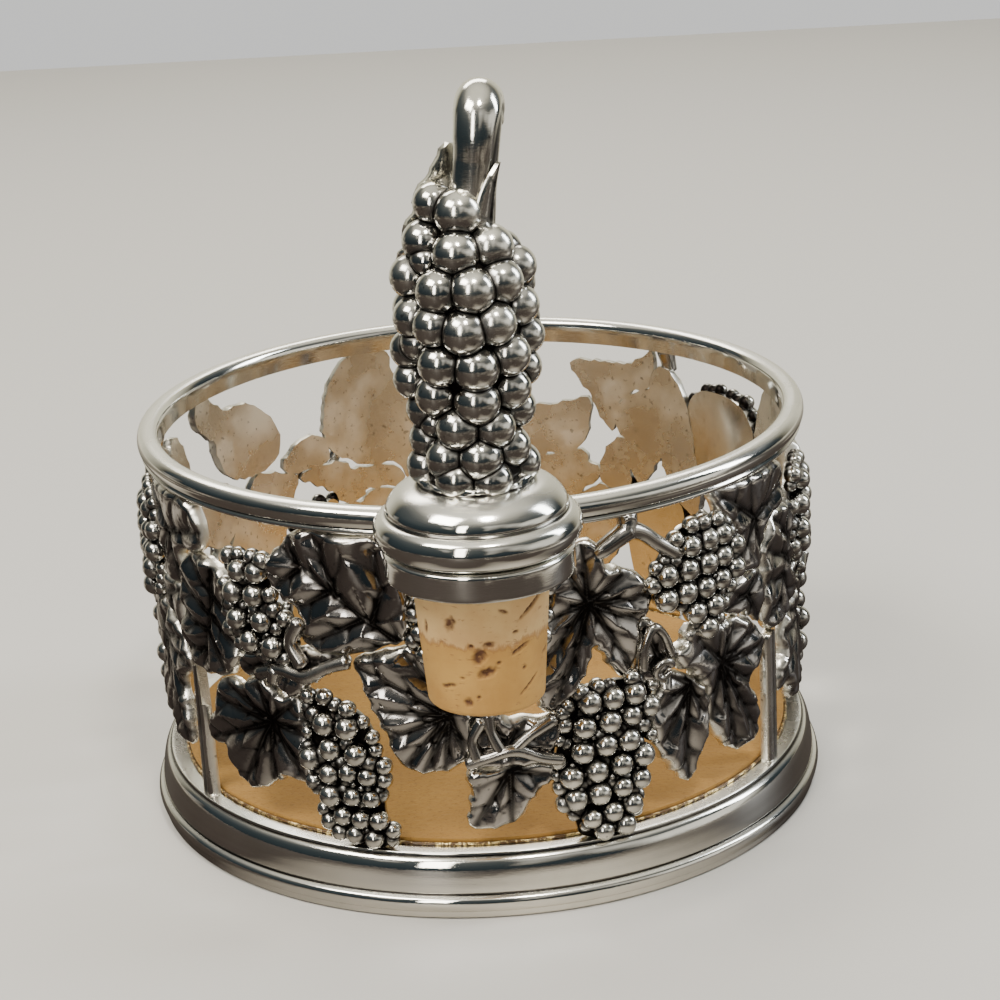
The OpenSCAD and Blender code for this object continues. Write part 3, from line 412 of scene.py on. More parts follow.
# %% Leaf outlines
LEAF_OUTLINES = {
    "leaf_broad": ((-23, 0.79), [
        (-37, 0.88), (-34, 0.93), (-31.5, 0.98), (-27.5, 1), (-22, 1), (-17, 1), (-14.5, 0.94),
        (-12.5, 0.86), (-11.5, 0.77), (-12.5, 0.68), (-16, 0.66), (-20.5, 0.63), (-25, 0.62),
        (-29, 0.62), (-31.5, 0.66), (-30, 0.7), (-32, 0.75), (-35, 0.78), (-37, 0.82)]),
    "leaf_folded": ((-12, 0.46), [
        (-22, 0.6), (-18.5, 0.62), (-14.5, 0.64), (-11, 0.65), (-9, 0.58), (-6, 0.53),
        (-3.5, 0.47), (-2.5, 0.41), (-3, 0.33), (-5, 0.28), (-8.5, 0.26), (-13, 0.26),
        (-15.5, 0.3), (-16.5, 0.37), (-18, 0.42), (-19.5, 0.48), (-20.5, 0.54)]),
    "leaf_low": ((-41, 0.31), [
        (-53.5, 0.39), (-49.5, 0.45), (-45.5, 0.44), (-42.5, 0.48), (-38.5, 0.48),
        (-36.5, 0.44), (-33, 0.45), (-31.5, 0.39), (-31, 0.34), (-32, 0.29), (-31, 0.23),
        (-32, 0.18), (-36.5, 0.19), (-39.5, 0.16), (-42.5, 0.12), (-46, 0.11), (-49, 0.16),
        (-51, 0.22), (-56.5, 0.21), (-56, 0.28), (-53, 0.32)]),
    "sprig_side": ((-35.5, 0.53), [
        (-45.5, 0.54), (-42, 0.57), (-38.5, 0.57), (-34.5, 0.57), (-32.5, 0.61), (-29.5, 0.61),
        (-25, 0.61), (-22.5, 0.59), (-25, 0.57), (-28, 0.54), (-30.5, 0.51), (-32.5, 0.46),
        (-35.5, 0.46), (-37.5, 0.5), (-41.5, 0.5), (-45, 0.49)]),
    "leaf_side": ((-55, 0.64), [
        (-51, 0.81), (-47.5, 0.79), (-48.5, 0.72), (-47, 0.67), (-47, 0.62), (-46.5, 0.58),
        (-46, 0.51), (-49.5, 0.46), (-52.5, 0.45), (-57, 0.44), (-61, 0.46), (-63, 0.53),
        (-62, 0.61), (-62.5, 0.68), (-62, 0.74), (-59, 0.81), (-55, 0.82)]),
    "leaf_lobed": ((17.5, 0.72), [
        (16.5, 0.94), (19, 0.93), (20, 0.89), (20.5, 0.85), (24, 0.83), (27.5, 0.79),
        (28.5, 0.75), (28.5, 0.7), (26.5, 0.66), (26, 0.6), (25, 0.53), (23, 0.5), (21.5, 0.53),
        (20, 0.58), (18, 0.62), (17, 0.56), (15.5, 0.51), (13.5, 0.46), (12, 0.44), (9.5, 0.43),
        (8.5, 0.47), (8, 0.51), (9, 0.58), (9.5, 0.66), (10.5, 0.76), (12, 0.85), (14.5, 0.91)]),
    "sprig_middle": ((3.5, 0.35), [
        (-2, 0.45), (1, 0.46), (3, 0.41), (5.5, 0.42), (8, 0.41), (12, 0.41), (12, 0.36),
        (10.5, 0.31), (10.5, 0.27), (7.5, 0.27), (4, 0.27), (0, 0.27), (-4, 0.27), (-2.5, 0.33),
        (-2, 0.4)]),
    "leaf_foot": ((2.5, 0.2), [
        (-4, 0.26), (0, 0.26), (5, 0.26), (10.5, 0.26), (10.5, 0.22), (8, 0.19), (6, 0.15),
        (5, 0.11), (2, 0.08), (-1, 0.07), (-4, 0.08), (-3.5, 0.13), (-3, 0.19)]),
    "tendril": ((29.5, 0.54), [
        (27, 0.66), (29.5, 0.64), (31.5, 0.59), (32.5, 0.53), (32.5, 0.49), (30.5, 0.47),
        (28.5, 0.46), (26, 0.48), (26, 0.53), (26.5, 0.6)]),
    "leaf_pointed": ((35, 0.33), [
        (31.5, 0.47), (34, 0.46), (36, 0.44), (38, 0.41), (40, 0.37), (40.5, 0.31), (40, 0.26),
        (39, 0.21), (37.5, 0.16), (36.5, 0.11), (35.5, 0.1), (33.5, 0.14), (31.5, 0.18),
        (29.5, 0.23), (29, 0.28), (28, 0.32), (28, 0.36), (29.5, 0.41)]),
    "leaf_spread": ((46, 0.42), [
        (36.5, 0.46), (33.5, 0.49), (33, 0.54), (35.5, 0.55), (35.5, 0.58), (37, 0.6),
        (40, 0.57), (43.5, 0.57), (46.5, 0.56), (50, 0.55), (53.5, 0.51), (56, 0.46),
        (57.5, 0.42), (55, 0.38), (52.5, 0.35), (52, 0.31), (54, 0.25), (54.5, 0.18),
        (54.5, 0.13), (50.5, 0.13), (46.5, 0.14), (44, 0.18), (41.5, 0.24), (41, 0.3),
        (40.5, 0.37), (38.5, 0.42)]),
    "leaf_edge": ((51, 0.62), [
        (45, 0.6), (45.5, 0.65), (48, 0.68), (52, 0.68), (56.5, 0.67), (57, 0.61), (56.5, 0.54),
        (56, 0.5), (54.5, 0.53), (51, 0.57), (47, 0.58)]),
    "leaf_top": ((54, 0.85), [
        (42.5, 1), (48, 1), (54, 1), (60, 1), (64.5, 0.97), (66.5, 0.9), (65.5, 0.84),
        (60, 0.82), (57.5, 0.8), (57, 0.74), (57, 0.69), (52, 0.69), (48.5, 0.71), (48, 0.75),
        (48.5, 0.82), (47, 0.87), (45, 0.9), (43.5, 0.94)]),
    "leaf_back_tip": ((149.5, 0.84), [
        (140, 1), (141.5, 0.97), (145, 0.93), (153, 0.93), (158.5, 0.93), (157, 0.88),
        (154, 0.82), (153, 0.77), (151, 0.71), (149.5, 0.68), (149, 0.75), (148, 0.8),
        (144.5, 0.85), (141, 0.86), (140.5, 0.9), (139.5, 0.94)]),
    "leaf_back_wide": ((165, 0.67), [
        (154.5, 0.8), (158, 0.78), (162, 0.76), (168, 0.75), (172, 0.77), (174.5, 0.71),
        (176, 0.63), (175.5, 0.55), (174, 0.53), (170.5, 0.57), (166.5, 0.58), (163.5, 0.59),
        (160, 0.58), (157.5, 0.61), (156, 0.64), (155, 0.71)]),
    "leaf_back_tall": ((199.5, 0.74), [
        (196.5, 1), (204, 1), (207.5, 0.95), (210, 0.86), (211, 0.74), (209.5, 0.66),
        (205.5, 0.62), (203, 0.59), (196.5, 0.59), (194.5, 0.56), (192.3, 0.5), (191, 0.5),
        (190, 0.57), (190, 0.66), (190, 0.76), (193, 0.85), (196, 0.92)]),
    "sprig_back_left": ((214.5, 0.66), [
        (211.5, 0.72), (216, 0.73), (219.5, 0.69), (221.5, 0.65), (220, 0.62), (216, 0.62),
        (210.5, 0.63), (210.5, 0.67)]),
    "leaf_back_reach": ((233, 0.79), [
        (222.5, 0.8), (225.5, 0.87), (230, 0.92), (236.5, 0.92), (240.5, 0.97), (242, 1),
        (246, 1), (246.5, 0.93), (243.5, 0.88), (240, 0.84), (239, 0.76), (236.5, 0.69),
        (230, 0.66), (224, 0.68), (222, 0.73)]),
    "sprig_back_right": ((241, 0.57), [
        (235, 0.52), (233.5, 0.58), (235.5, 0.64), (239.5, 0.68), (244, 0.67), (248, 0.63),
        (247.5, 0.54), (244.5, 0.48), (240.5, 0.46), (237.5, 0.47)]),
}
BUNCH_OUTLINES = {
    "bunch_small": [
        (-46, 0.59), (-46.5, 0.67), (-47.5, 0.72), (-47, 0.79), (-45.5, 0.85), (-43, 0.88),
        (-39.5, 0.89), (-37.5, 0.88), (-37.5, 0.82), (-37, 0.78), (-36.5, 0.73), (-34, 0.71),
        (-32, 0.66), (-33, 0.62), (-35, 0.58), (-38.5, 0.58), (-42, 0.58)],
    "bunch_long": [
        (-29.5, 0.49), (-31.5, 0.46), (-31, 0.39), (-30.5, 0.34), (-31.5, 0.29), (-30.5, 0.23),
        (-29.5, 0.14), (-27, 0.06), (-25, 0), (-17, 0), (-17, 0.06), (-18.5, 0.12),
        (-17.5, 0.21), (-18.5, 0.31), (-20, 0.4), (-22.5, 0.44), (-27, 0.46)],
    "bunch_large": [
        (12.5, 0.43), (12.5, 0.35), (11, 0.31), (11, 0.22), (11.5, 0.17), (12.5, 0.11),
        (14, 0.06), (14.5, 0), (23, 0), (24.5, 0.06), (25.5, 0.14), (26.5, 0.23), (27, 0.31),
        (27.5, 0.37), (28.5, 0.41), (28.5, 0.45), (26, 0.47), (23, 0.49), (20.5, 0.49),
        (16, 0.49), (14, 0.46)],
    "bunch_high": [
        (29, 0.79), (29.5, 0.69), (32, 0.68), (35.5, 0.67), (37, 0.62), (39, 0.59), (43, 0.59),
        (44, 0.61), (45, 0.66), (47.5, 0.69), (47.5, 0.75), (48, 0.82), (46.5, 0.86), (44, 0.9),
        (42, 0.91), (36, 0.92), (34, 0.89), (31.5, 0.84)],
    "bunch_middle": [
        (-11, 0.81), (-11, 0.71), (-11.5, 0.67), (-10, 0.65), (-8, 0.59), (-5, 0.57), (0, 0.54),
        (5, 0.55), (8.5, 0.58), (9, 0.66), (10, 0.76), (11, 0.83), (8, 0.89), (4, 0.9),
        (-2, 0.9), (-7, 0.88), (-9.5, 0.84)],
    "bunch_back": [
        (176.5, 0.82), (185, 0.84), (189, 0.81), (189.5, 0.73), (189.5, 0.58), (187, 0.53),
        (183, 0.52), (178, 0.52), (176.5, 0.55), (176.5, 0.63), (175, 0.71)],
}
POST_OUTLINE = [
    (58.5, 0), (62.5, 0), (62, 0.14), (62, 0.27), (61.5, 0.37), (61, 0.44), (59, 0.43), (58.5, 0.37),
    (58.5, 0.27), (58.5, 0.14)]

# %% [markdown]
# The veins are what makes a cast leaf read as a vine leaf. Each main vein is a thin raised line between
# two sunken ones, and runs from where the stalk meets the leaf to the tip of a lobe. Points are an angle
# round the wall and a height above the table in millimetres.

# %% Main veins
MAIN_VEINS = {
    "leaf_broad": [
        [(-13, 51), (-20, 56.2), (-27, 62), (-34, 67)], [(-19.5, 55.5), (-24, 53), (-30.5, 49.6)],
        [(-14.5, 51), (-22, 49)], [(-25, 60.2), (-31.5, 56)], [(-30.5, 63.6), (-35, 60)],
        [(-24, 59.5), (-25.5, 64), (-27.5, 70)], [(-18, 55), (-16, 61), (-17.5, 68.5)],
        [(-31, 65), (-32.5, 69)]],
    "leaf_folded": [
        [(-6.5, 38), (-14, 42.5), (-21.6, 47)], [(-7.2, 38), (-17.8, 38.6)], [(-7, 37.5), (-16.5, 33.4)],
        [(-6.7, 37.2), (-14, 28.4)], [(-6.4, 37), (-10.8, 27.4)], [(-6.2, 37), (-7.4, 27.6)],
        [(-6, 37.4), (-4, 30)], [(-6.6, 38.6), (-9, 44), (-13, 49.4)], [(-6, 38.6), (-5, 43)]],
    "leaf_low": [
        [(-39, 33), (-52.8, 34.2)], [(-39.6, 33.6), (-50, 38.2)], [(-39.4, 32.5), (-55, 25.2)],
        [(-39, 32.4), (-46.5, 19)], [(-38.6, 32), (-39.6, 21.6)], [(-38.2, 32.4), (-32.6, 23)],
        [(-38, 33), (-31.4, 31.5)], [(-38.4, 33.6), (-33.4, 38)], [(-39.2, 34), (-41.5, 40)]],
    "leaf_side": [
        [(-51, 58.6), (-52.2, 51), (-56, 39.6)], [(-51.6, 54), (-47, 50.6)], [(-52.4, 50), (-46.6, 45.6)],
        [(-53.4, 47), (-50, 40.2)], [(-51.6, 54), (-58, 59.6)], [(-52.4, 50), (-61, 54)],
        [(-53.6, 46.6), (-61.4, 48)], [(-55, 42.6), (-61, 41)]],
    "leaf_lobed": [
        [(17.3, 56.5), (16.6, 67.2)], [(17.2, 57), (13.4, 63.4)], [(17.6, 56.8), (24.6, 60.6)],
        [(18, 56.4), (28.4, 55.4)], [(18, 56), (26.6, 51)], [(17.8, 55.8), (24.4, 43.6)],
        [(17, 55.6), (14.6, 47), (11, 38.4)], [(16.8, 56), (9.4, 46.4)], [(16.8, 56.6), (10.4, 54.6)]],
    "leaf_foot": [[(3, 26.6), (-3, 16.8)], [(3.2, 26.4), (3, 16.6)], [(3.6, 26.8), (9.6, 25.4)]],
    "leaf_pointed": [
        [(36, 36), (35.2, 26), (35.4, 18.4)], [(36, 35.6), (30.4, 27)], [(35.6, 36), (29.6, 33.6)],
        [(36, 36.6), (32.4, 39)], [(36.4, 35.4), (39.4, 30)]],
    "leaf_spread": [
        [(43.5, 38.4), (38.4, 44.2)], [(44, 38.8), (47.6, 44.4)], [(44.4, 38.6), (54.6, 41)],
        [(44.4, 38), (56.6, 36.4)], [(44, 37.6), (53.4, 30)], [(43.8, 37.2), (53.6, 20.6)],
        [(43.4, 37), (47.4, 20.6)], [(43, 37.4), (41.4, 28)]],
    "sprig_middle": [
        [(-1.5, 37), (3, 31), (8.6, 28.6)], [(3.4, 31.4), (6, 36)], [(3, 31), (-2.6, 29)],
        [(6, 33), (11, 34.4)]],
    "sprig_side": [
        [(-23.5, 47.4), (-30, 45.6), (-38, 43)], [(-34, 47), (-28, 46.8)], [(-40, 43.6), (-44, 42)]],
}

# %% [markdown]
# The face of a casting is a height over its back. Each main vein runs in a valley, side veins branch
# from it as crisp creases, and between the creases the leaf puffs up in smooth pillows that catch the
# light. The edge rounds off. The same sums give the two marks for the antique finish: black in the
# creases, and bright along the edges and on the pillows' crests, partly as rubbed silver and partly as
# a painted highlight.

# %% Casting helpers
EDGE_ROUND = 0.6
EDGE_SHINE = 0.65
VEIN_CORE = 0.22
VEIN_VALLEY = 2.3
CREASE = 0.4
TOOTH_STEP = 3.2
TOOTH_DEPTH = 0.42
TOOTH_SHAPE = ((0, 0), (0.3, 0.45), (0.62, 1), (0.8, 0.55))
SIDE_VEIN_STEP = 6.2
SIDE_VEIN_LEAN = 0.84
SIDE_VEIN_SHARE = 0.77
OUTLINE_GROWTH = 0.3
BACK_GRID = 2.5
FAR_AWAY = 1e9
FINE_GRID = 0.33
print("points every", FINE_GRID, "mm on a casting's face")


def to_flat(points):
    """Angle and share of the wall's height, to millimetres along and up the wall."""
    degrees, shares = np.asarray(points, dtype=float).T
    return np.stack([degrees * MM_PER_DEGREE, shares * WALL_H], 1)


def heights_to_flat(points):
    """Angle and height above the table, to millimetres along and up the wall."""
    degrees, heights = np.asarray(points, dtype=float).T
    return np.stack([degrees * MM_PER_DEGREE, heights - LIP_Z], 1)


def on_wall(flat, turn, radius):
    """Flat points put back on the wall, at a turn and a radius."""
    return wall_place(flat[:, 0] / MM_PER_DEGREE + turn, flat[:, 1] / WALL_H, radius)


def unit(steps):
    """The steps, each made 1 long."""
    return steps / (np.linalg.norm(steps, axis=1)[:, None] + 1e-9)


def grown(flat, by):
    """The outline moved outwards. It runs clockwise, so the outside is on its left."""
    ahead = unit(np.roll(flat, -1, 0) - flat)
    normal = np.stack([-ahead[:, 1], ahead[:, 0]], 1)
    return flat + unit(normal + np.roll(normal, 1, 0)) * by


def rounded(flat, share=0.16):
    """Cuts each corner a little, so that lobes keep their points but the metal looks cast."""
    before = np.roll(flat, 1, 0)
    after = np.roll(flat, -1, 0)
    corners = np.stack([flat + (before - flat) * share, flat + (after - flat) * share], 1)
    return corners.reshape(-1, 2)


def toothed(flat, rng, step=TOOTH_STEP, depth=TOOTH_DEPTH, fixed=None):
    """Small leaning teeth along the outline. Where fixed says so, the edge stays plain."""
    result = []
    for a, b in zip(flat, np.roll(flat, -1, 0)):
        length = float(np.linalg.norm(b - a))
        if length < 1e-6:
            continue
        normal = np.array([-(b - a)[1], (b - a)[0]]) / length
        plain = fixed is not None and fixed(a, b)
        count = max(1, round(length / step))
        for k in range(count):
            size = 0 if plain or length < step * 0.6 else depth * (0.6 + 0.8 * rng.random())
            for share, rise in TOOTH_SHAPE:
                result.append(a + (b - a) * (k + share) / count + normal * rise * size)
    return np.array(result)


def distance_to_path(points, path, closed=False):
    """Distance of each point to a path, the length along it, the side it lies on, and the whole length."""
    ends = np.roll(path, -1, 0) if closed else path[1:]
    starts = path if closed else path[:-1]
    best = np.full(len(points), FAR_AWAY)
    along = np.zeros(len(points))
    side = np.zeros(len(points))
    gone = 0.0
    for a, b in zip(starts, ends):
        step = b - a
        length = float(np.hypot(*step))
        if length < 1e-9:
            continue
        share = np.clip(((points - a) @ step) / length ** 2, 0, 1)
        gap = points - a - share[:, None] * step
        far = np.hypot(gap[:, 0], gap[:, 1])
        nearer = far < best
        best[nearer] = far[nearer]
        along[nearer] = gone + share[nearer] * length
        side[nearer] = np.sign(step[0] * gap[nearer, 1] - step[1] * gap[nearer, 0])
        gone += length
    return best, along, side, gone


def edge_distance(points, outline):
    return distance_to_path(points, outline, closed=True)[0]


def inside(points, outline):
    """Even-odd test of points against a closed outline."""
    hit = np.zeros(len(points), dtype=bool)
    for a, b in zip(outline, np.roll(outline, -1, 0)):
        crosses = (a[1] > points[:, 1]) != (b[1] > points[:, 1])
        where_x = a[0] + (points[:, 1] - a[1]) / (b[1] - a[1] + 1e-12) * (b[0] - a[0])
        hit ^= crosses & (points[:, 0] < where_x)
    return hit


def staggered(outline, along, up):
    """A grid of points over the outline's box, with every second row moved by half a step."""
    low, high = outline.min(0), outline.max(0)
    xs, ys = np.meshgrid(np.arange(low[0], high[0], along), np.arange(low[1], high[1], up))
    xs[1::2] += along / 2
    return np.stack([xs.ravel(), ys.ravel()], 1)


def filled(outline, grid):
    """Triangles that fill an outline, with inner points on a triangular grid."""
    inner = staggered(outline, grid, grid * 0.866)
    inner = inner[inside(inner, outline)]
    inner = inner[edge_distance(inner, outline) > grid * 0.45]
    points = [Vector((float(x), float(y))) for x, y in np.concatenate([outline, inner])]
    loop = list(range(len(outline)))[::-1]
    verts, _, faces, _, _, _ = geometry.delaunay_2d_cdt(points, [], [loop], 1, 1e-5)
    return np.array([(v.x, v.y) for v in verts]), [tuple(f) for f in faces]


def ripple(points, size, rng):
    """A smooth unevenness between -1 and 1, made of a few waves."""
    total = np.zeros(len(points))
    for _ in range(5):
        angle = rng.random() * math.pi
        wave = (0.6 + 0.9 * rng.random()) * 2 * math.pi / size
        across = points @ np.array([math.cos(angle), math.sin(angle)])
        total += np.sin(across * wave + rng.random() * 6.283)
    return total / 5


def bell(values, width):
    """1 where a value is 0, and soon 0 beside it."""
    return np.exp(-(values / width) ** 2)


def auto_veins(centre, outline):
    """Veins from the centre to each tip: an outline point that is farther out than its neighbours."""
    far = np.linalg.norm(outline - centre, axis=1)
    tips = [i for i in range(len(far))
            if far[i] >= far[i - 1] and far[i] > far[(i + 1) % len(far)] and far[i] > 0.5 * far.max()]
    return [np.array([centre, centre + (outline[i] - centre) * 0.94]) for i in tips]


def leaf_relief(points, outline, veins, rng, puff, roughness):
    """Height of the face, and the marks for groove and for rubbing with painted highlight."""
    edge = edge_distance(points, outline)
    fade = 1 - np.exp(-(edge / EDGE_ROUND) ** 1.3)
    nearest = np.full(len(points), FAR_AWAY)
    side_gap = np.full(len(points), 9.0)
    cores = np.zeros(len(points))
    grooves = np.zeros(len(points))
    for number, path in enumerate(veins):
        far, along, side, length = distance_to_path(points, path)
        beside = (along > 1e-6) & (along < length - 1e-6)
        taper = 1 - 0.55 * along / max(length, 1e-6)
        cores = np.maximum(cores, bell(far, VEIN_CORE) * taper * beside)
        grooves = np.maximum(grooves, bell(far, 0.35 + 0.75 * taper ** 2) * (0.5 + 0.5 * taper))
        bent = along + 0.5 * np.sin(along * 0.9 + 2.1 * number)
        phase = (bent - far * SIDE_VEIN_LEAN) / SIDE_VEIN_STEP + 0.25 * side + 0.37 * number
        off = np.abs(phase - np.round(phase)) * SIDE_VEIN_STEP * SIDE_VEIN_SHARE
        closer = far < nearest
        side_gap[closer] = np.where(beside, off, 9.0)[closer]
        nearest[closer] = far[closer]
    panel = 1 - np.exp(-side_gap ** 1.3)
    valley = 1 - np.exp(-(nearest / VEIN_VALLEY) ** 1.25)
    creases = bell(side_gap, CREASE) * np.clip(nearest / 0.8, 0, 1)
    wave = ripple(points, 13, rng)
    grit = ripple(points, 2.2, rng) * ripple(points, 1.3, rng)
    pillows = puff * (1.35 * valley + 0.3 * panel)
    height = fade * (0.2 + pillows + 0.3 * cores + 0.25 * wave + roughness * grit)
    recess = np.clip(1.15 * grooves - 0.4 * cores + 0.6 * creases, 0, 1)
    # Edges and pillow crests are made bright: partly rubbed silver, partly a painted highlight.
    crest = np.clip((panel * valley - 0.5) * 2, 0, 1) * np.clip(0.4 + 0.8 * wave, 0, 1)
    rubbed = np.clip(bell(edge, EDGE_SHINE) + 0.55 * crest + 0.4 * cores, 0, 1)
    return height, recess, rubbed * (1 - 0.85 * recess)


def band(low, high, count):
    """Faces between two closed rows of points, which start at the numbers low and high."""
    pairs = [(k, (k + 1) % count) for k in range(count)]
    return [(low + k, low + n, high + n, high + k) for k, n in pairs]


def turned_over(tris, first):
    """The same triangles seen from behind, with their points counted from first."""
    return [(first + c, first + b, first + a) for a, b, c in tris]


def casting_mesh(outline, turn, relief, grid):
    """Points, faces and marks of a casting: the face, the rounded edge and the smooth back."""
    flat, tris = filled(outline, grid)
    height, recess, rubbed = relief(flat)
    count, rim_count = len(flat), len(outline)
    back_flat, back_tris = filled(outline, BACK_GRID)
    rear = np.concatenate([flat[:rim_count], back_flat[rim_count:]])
    verts = np.concatenate([on_wall(flat, turn, EDGE_R + height), on_wall(rear, turn, BACK_R)])
    faces = list(tris) + band(0, count, rim_count) + turned_over(back_tris, count)
    plain = np.zeros(len(rear))
    # The whole back gets almost the full bright colour: painted light, so that the inside of the wall looks
    # lit.
    return verts, faces, {"recess": np.append(recess, plain), "rubbed": np.append(rubbed, plain + 0.95)}


def joined(parts):
    """Several meshes of points, faces and marks as one."""
    verts, faces = [], []
    marks = {}
    shift = 0
    for part_verts, part_faces, part_marks in parts:
        verts.append(np.asarray(part_verts, dtype=float))
        faces += [tuple(shift + i for i in f) for f in part_faces]
        for mark, values in part_marks.items():
            marks.setdefault(mark, []).append(np.asarray(values, dtype=float))
        shift += len(part_verts)
    return np.concatenate(verts), faces, {mark: np.concatenate(v) for mark, v in marks.items()}


def add_casting(node_name, parts, material=CAST):
    return add_piece(node_name + "_cast", node_name, joined(parts), material)


def at_seam(a, b):
    """True where an outline's edge lies on the rim's or the foot's seam."""
    low, high = 0.4, WALL_H - 0.4
    return (a[1] < low and b[1] < low) or (a[1] > high and b[1] > high)


def leaf_parts(kind, turn, puff, roughness):
    """One leaf casting at a turn of the wall."""
    centre, outline = LEAF_OUTLINES[kind]
    rng = np.random.default_rng(sum(ord(c) for c in kind) * 7 + int(turn))
    coarse = to_flat(outline)
    if kind in MAIN_VEINS:
        veins = [heights_to_flat(v) for v in MAIN_VEINS[kind]]
    else:
        veins = auto_veins(to_flat([centre])[0], coarse)
    fine = toothed(rounded(grown(coarse, OUTLINE_GROWTH)), rng, fixed=at_seam)
    fine[:, 1] = np.clip(fine[:, 1], 0.0, WALL_H)
    return casting_mesh(fine, turn, lambda p: leaf_relief(p, fine, veins, rng, puff, roughness), FINE_GRID)


# %% [markdown]
# The leaves repeat in three panels round the wall. At the back, where the photograph sees the wall
# through the open rim, four leaves of their own take the places of a panel's leaves. Each kind has its
# own puff and its own roughness.

# %% Leaves of the wall
LEAF_LOOK = {
    "leaf_broad": (1.35, 0.05), "leaf_folded": (1.3, 0.05), "leaf_low": (1.2, 0.06),
    "leaf_side": (1.2, 0.06), "leaf_lobed": (1.35, 0.05), "leaf_pointed": (1.2, 0.05),
    "leaf_spread": (1.2, 0.06), "leaf_top": (1.1, 0.12), "leaf_back_tip": (1.2, 0.06),
    "leaf_back_wide": (1.2, 0.06), "leaf_back_tall": (1.3, 0.06), "leaf_back_reach": (1.2, 0.06)}
leaves = [add_casting(node_name, [leaf_parts(kind, turn, *LEAF_LOOK[kind])])
          for node_name, kind, turn in wall_nodes(LEAF_LOOK)]
print("leaves:", len(leaves))

# %% [markdown]
# Between the big leaves sit small castings: twigs, curled tendrils and half-hidden leaflets. Round
# twigs are tubes that follow a few points, thicker at the knots. Their places are an angle, a height
# above the table and a distance from the back of the wall.

# %% Twigs and small castings


def curve_point(p0, p1, p2, p3, f):
    """A point of the smooth curve between p1 and p2, a share f of the way."""
    return 0.5 * (2 * p1 + (p2 - p0) * f + (2 * p0 - 5 * p1 + 4 * p2 - p3) * f ** 2
                  + (3 * p1 - p0 - 3 * p2 + p3) * f ** 3)


def skin(rings, start, end):
    """Points and faces over closed rings of equally many points, with one more point at each end."""
    rings = np.asarray(rings)
    rows, cols = rings.shape[:2]
    verts = np.concatenate([rings.reshape(-1, 3), [start, end]])
    faces = [face for k in range(rows - 1) for face in band(k * cols, (k + 1) * cols, cols)]
    first = rows * cols
    last = first - cols
    for s in range(cols):
        n = (s + 1) % cols
        faces.append((first, n, s))
        faces.append((first + 1, last + s, last + n))
    return verts, faces


def tube(points, radii, sides=14, steps=7):
    """A closed round rod through points in millimetres, with a radius at each point."""
    points = np.asarray(points, dtype=float)
    ts = np.linspace(0, len(points) - 1, (len(points) - 1) * steps + 1)
    padded = np.concatenate([[2 * points[0] - points[1]], points, [2 * points[-1] - points[-2]]])
    starts = np.minimum(ts.astype(int), len(points) - 2)
    path = np.array([curve_point(*padded[i:i + 4], t - i) for i, t in zip(starts, ts)])
    size = np.interp(ts, np.arange(len(radii)), radii)
    ahead = np.gradient(path, axis=0)
    ahead /= np.linalg.norm(ahead, axis=1)[:, None]
    across = np.cross(ahead[0], (0.3, 0.1, 1.0))
    turns = (2 * math.pi * np.arange(sides) / sides)[:, None]
    rings = []
    for k in range(len(path)):
        across = across - ahead[k] * (across @ ahead[k])
        across /= np.linalg.norm(across)
        third = np.cross(ahead[k], across)
        rings.append(path[k] + size[k] * (np.cos(turns) * across + np.sin(turns) * third))
    verts, faces = skin(rings, path[0] - ahead[0] * size[0] * 0.5, path[-1] + ahead[-1] * size[-1] * 0.5)
    return verts, faces, {"recess": np.full(len(verts), 0.2), "rubbed": np.full(len(verts), 0.3)}


def wall_tube(places, radii, turn, **more):
    """A tube along places on the wall."""
    degrees, heights, outs = np.asarray(places, dtype=float).T
    return tube(wall_place(degrees + turn, (heights - LIP_Z) / WALL_H, BACK_R + outs), radii, **more)


def curl(at, radius, thick, turn, out=3.0, sweep=330):
    """A round curl standing on a casting, such as the rolled end of a tendril."""
    turns = np.radians(np.arange(20, 20 + sweep, 24))
    degrees = at[0] + radius * np.cos(turns) / MM_PER_DEGREE
    places = np.stack([degrees, at[1] + radius * np.sin(turns), out + 0.5 * np.sin(turns)], 1)
    return wall_tube(places, np.linspace(thick, thick * 0.75, len(places)), turn, steps=3)


TWIGS = {
    "sprig_side": ([
        [(-22.5, 47.6, 2.4), (-26, 46.2, 2.9), (-30, 44.0, 3.1), (-35, 44.2, 2.8), (-40, 42.4, 2.4)],
        [(-30.5, 46, 3), (-32.5, 50, 3), (-31, 54, 2.4)],
        [(-36, 44.2, 3), (-37, 41.6, 2.6)]], 1.15),
    "sprig_middle": ([
        [(-3.6, 29, 2.6), (0, 30.5, 3.4), (4, 31.6, 3.6), (8, 29.6, 3.2), (11.6, 28.4, 2.6)],
        [(3.6, 31.4, 3.4), (6.4, 34, 3.4), (10.6, 36.4, 2.8)],
        [(2, 31, 3.4), (0.4, 35, 3), (0, 38.2, 2.4)],
        [(-2, 30, 3), (-2.6, 33.6, 2.8), (-1, 37, 2.4)]], 0.95),
    "tendril": ([
        [(26.4, 42.2, 2.4), (26.6, 46.4, 2.8), (28.4, 49.6, 2.6), (30.6, 47.6, 2.4), (32, 43.6, 2.4)]], 0.8)}
SMALL_KINDS = {"sprigs_side": "sprig_side", "sprigs_middle": "sprig_middle", "leaves_foot": "leaf_foot",
               "tendrils": "tendril", "leaves_edge": "leaf_edge"}
for node_name, kind in SMALL_KINDS.items():
    parts = []
    for panel, turn in TURNS.items():
        if node_name == "leaves_edge" and panel == "right":
            continue
        parts.append(leaf_parts(kind, turn, 1.0, 0.35 if kind.startswith("sprig") else 0.12))
        paths, thick = TWIGS.get(kind, ([], 1))
        for path in paths:
            knots = [thick * (1.0 if i % 2 else 1.25) for i in range(len(path))]
            parts.append(wall_tube(path, knots, turn))
        if kind == "tendril":
            parts.append(curl((30, 41.4), 1.7, 0.75, turn))
    add_casting(node_name, parts)

add_casting("sprigs_back", [leaf_parts("sprig_back_" + side, 0, 1.1, 0.2) for side in ("left", "right")])

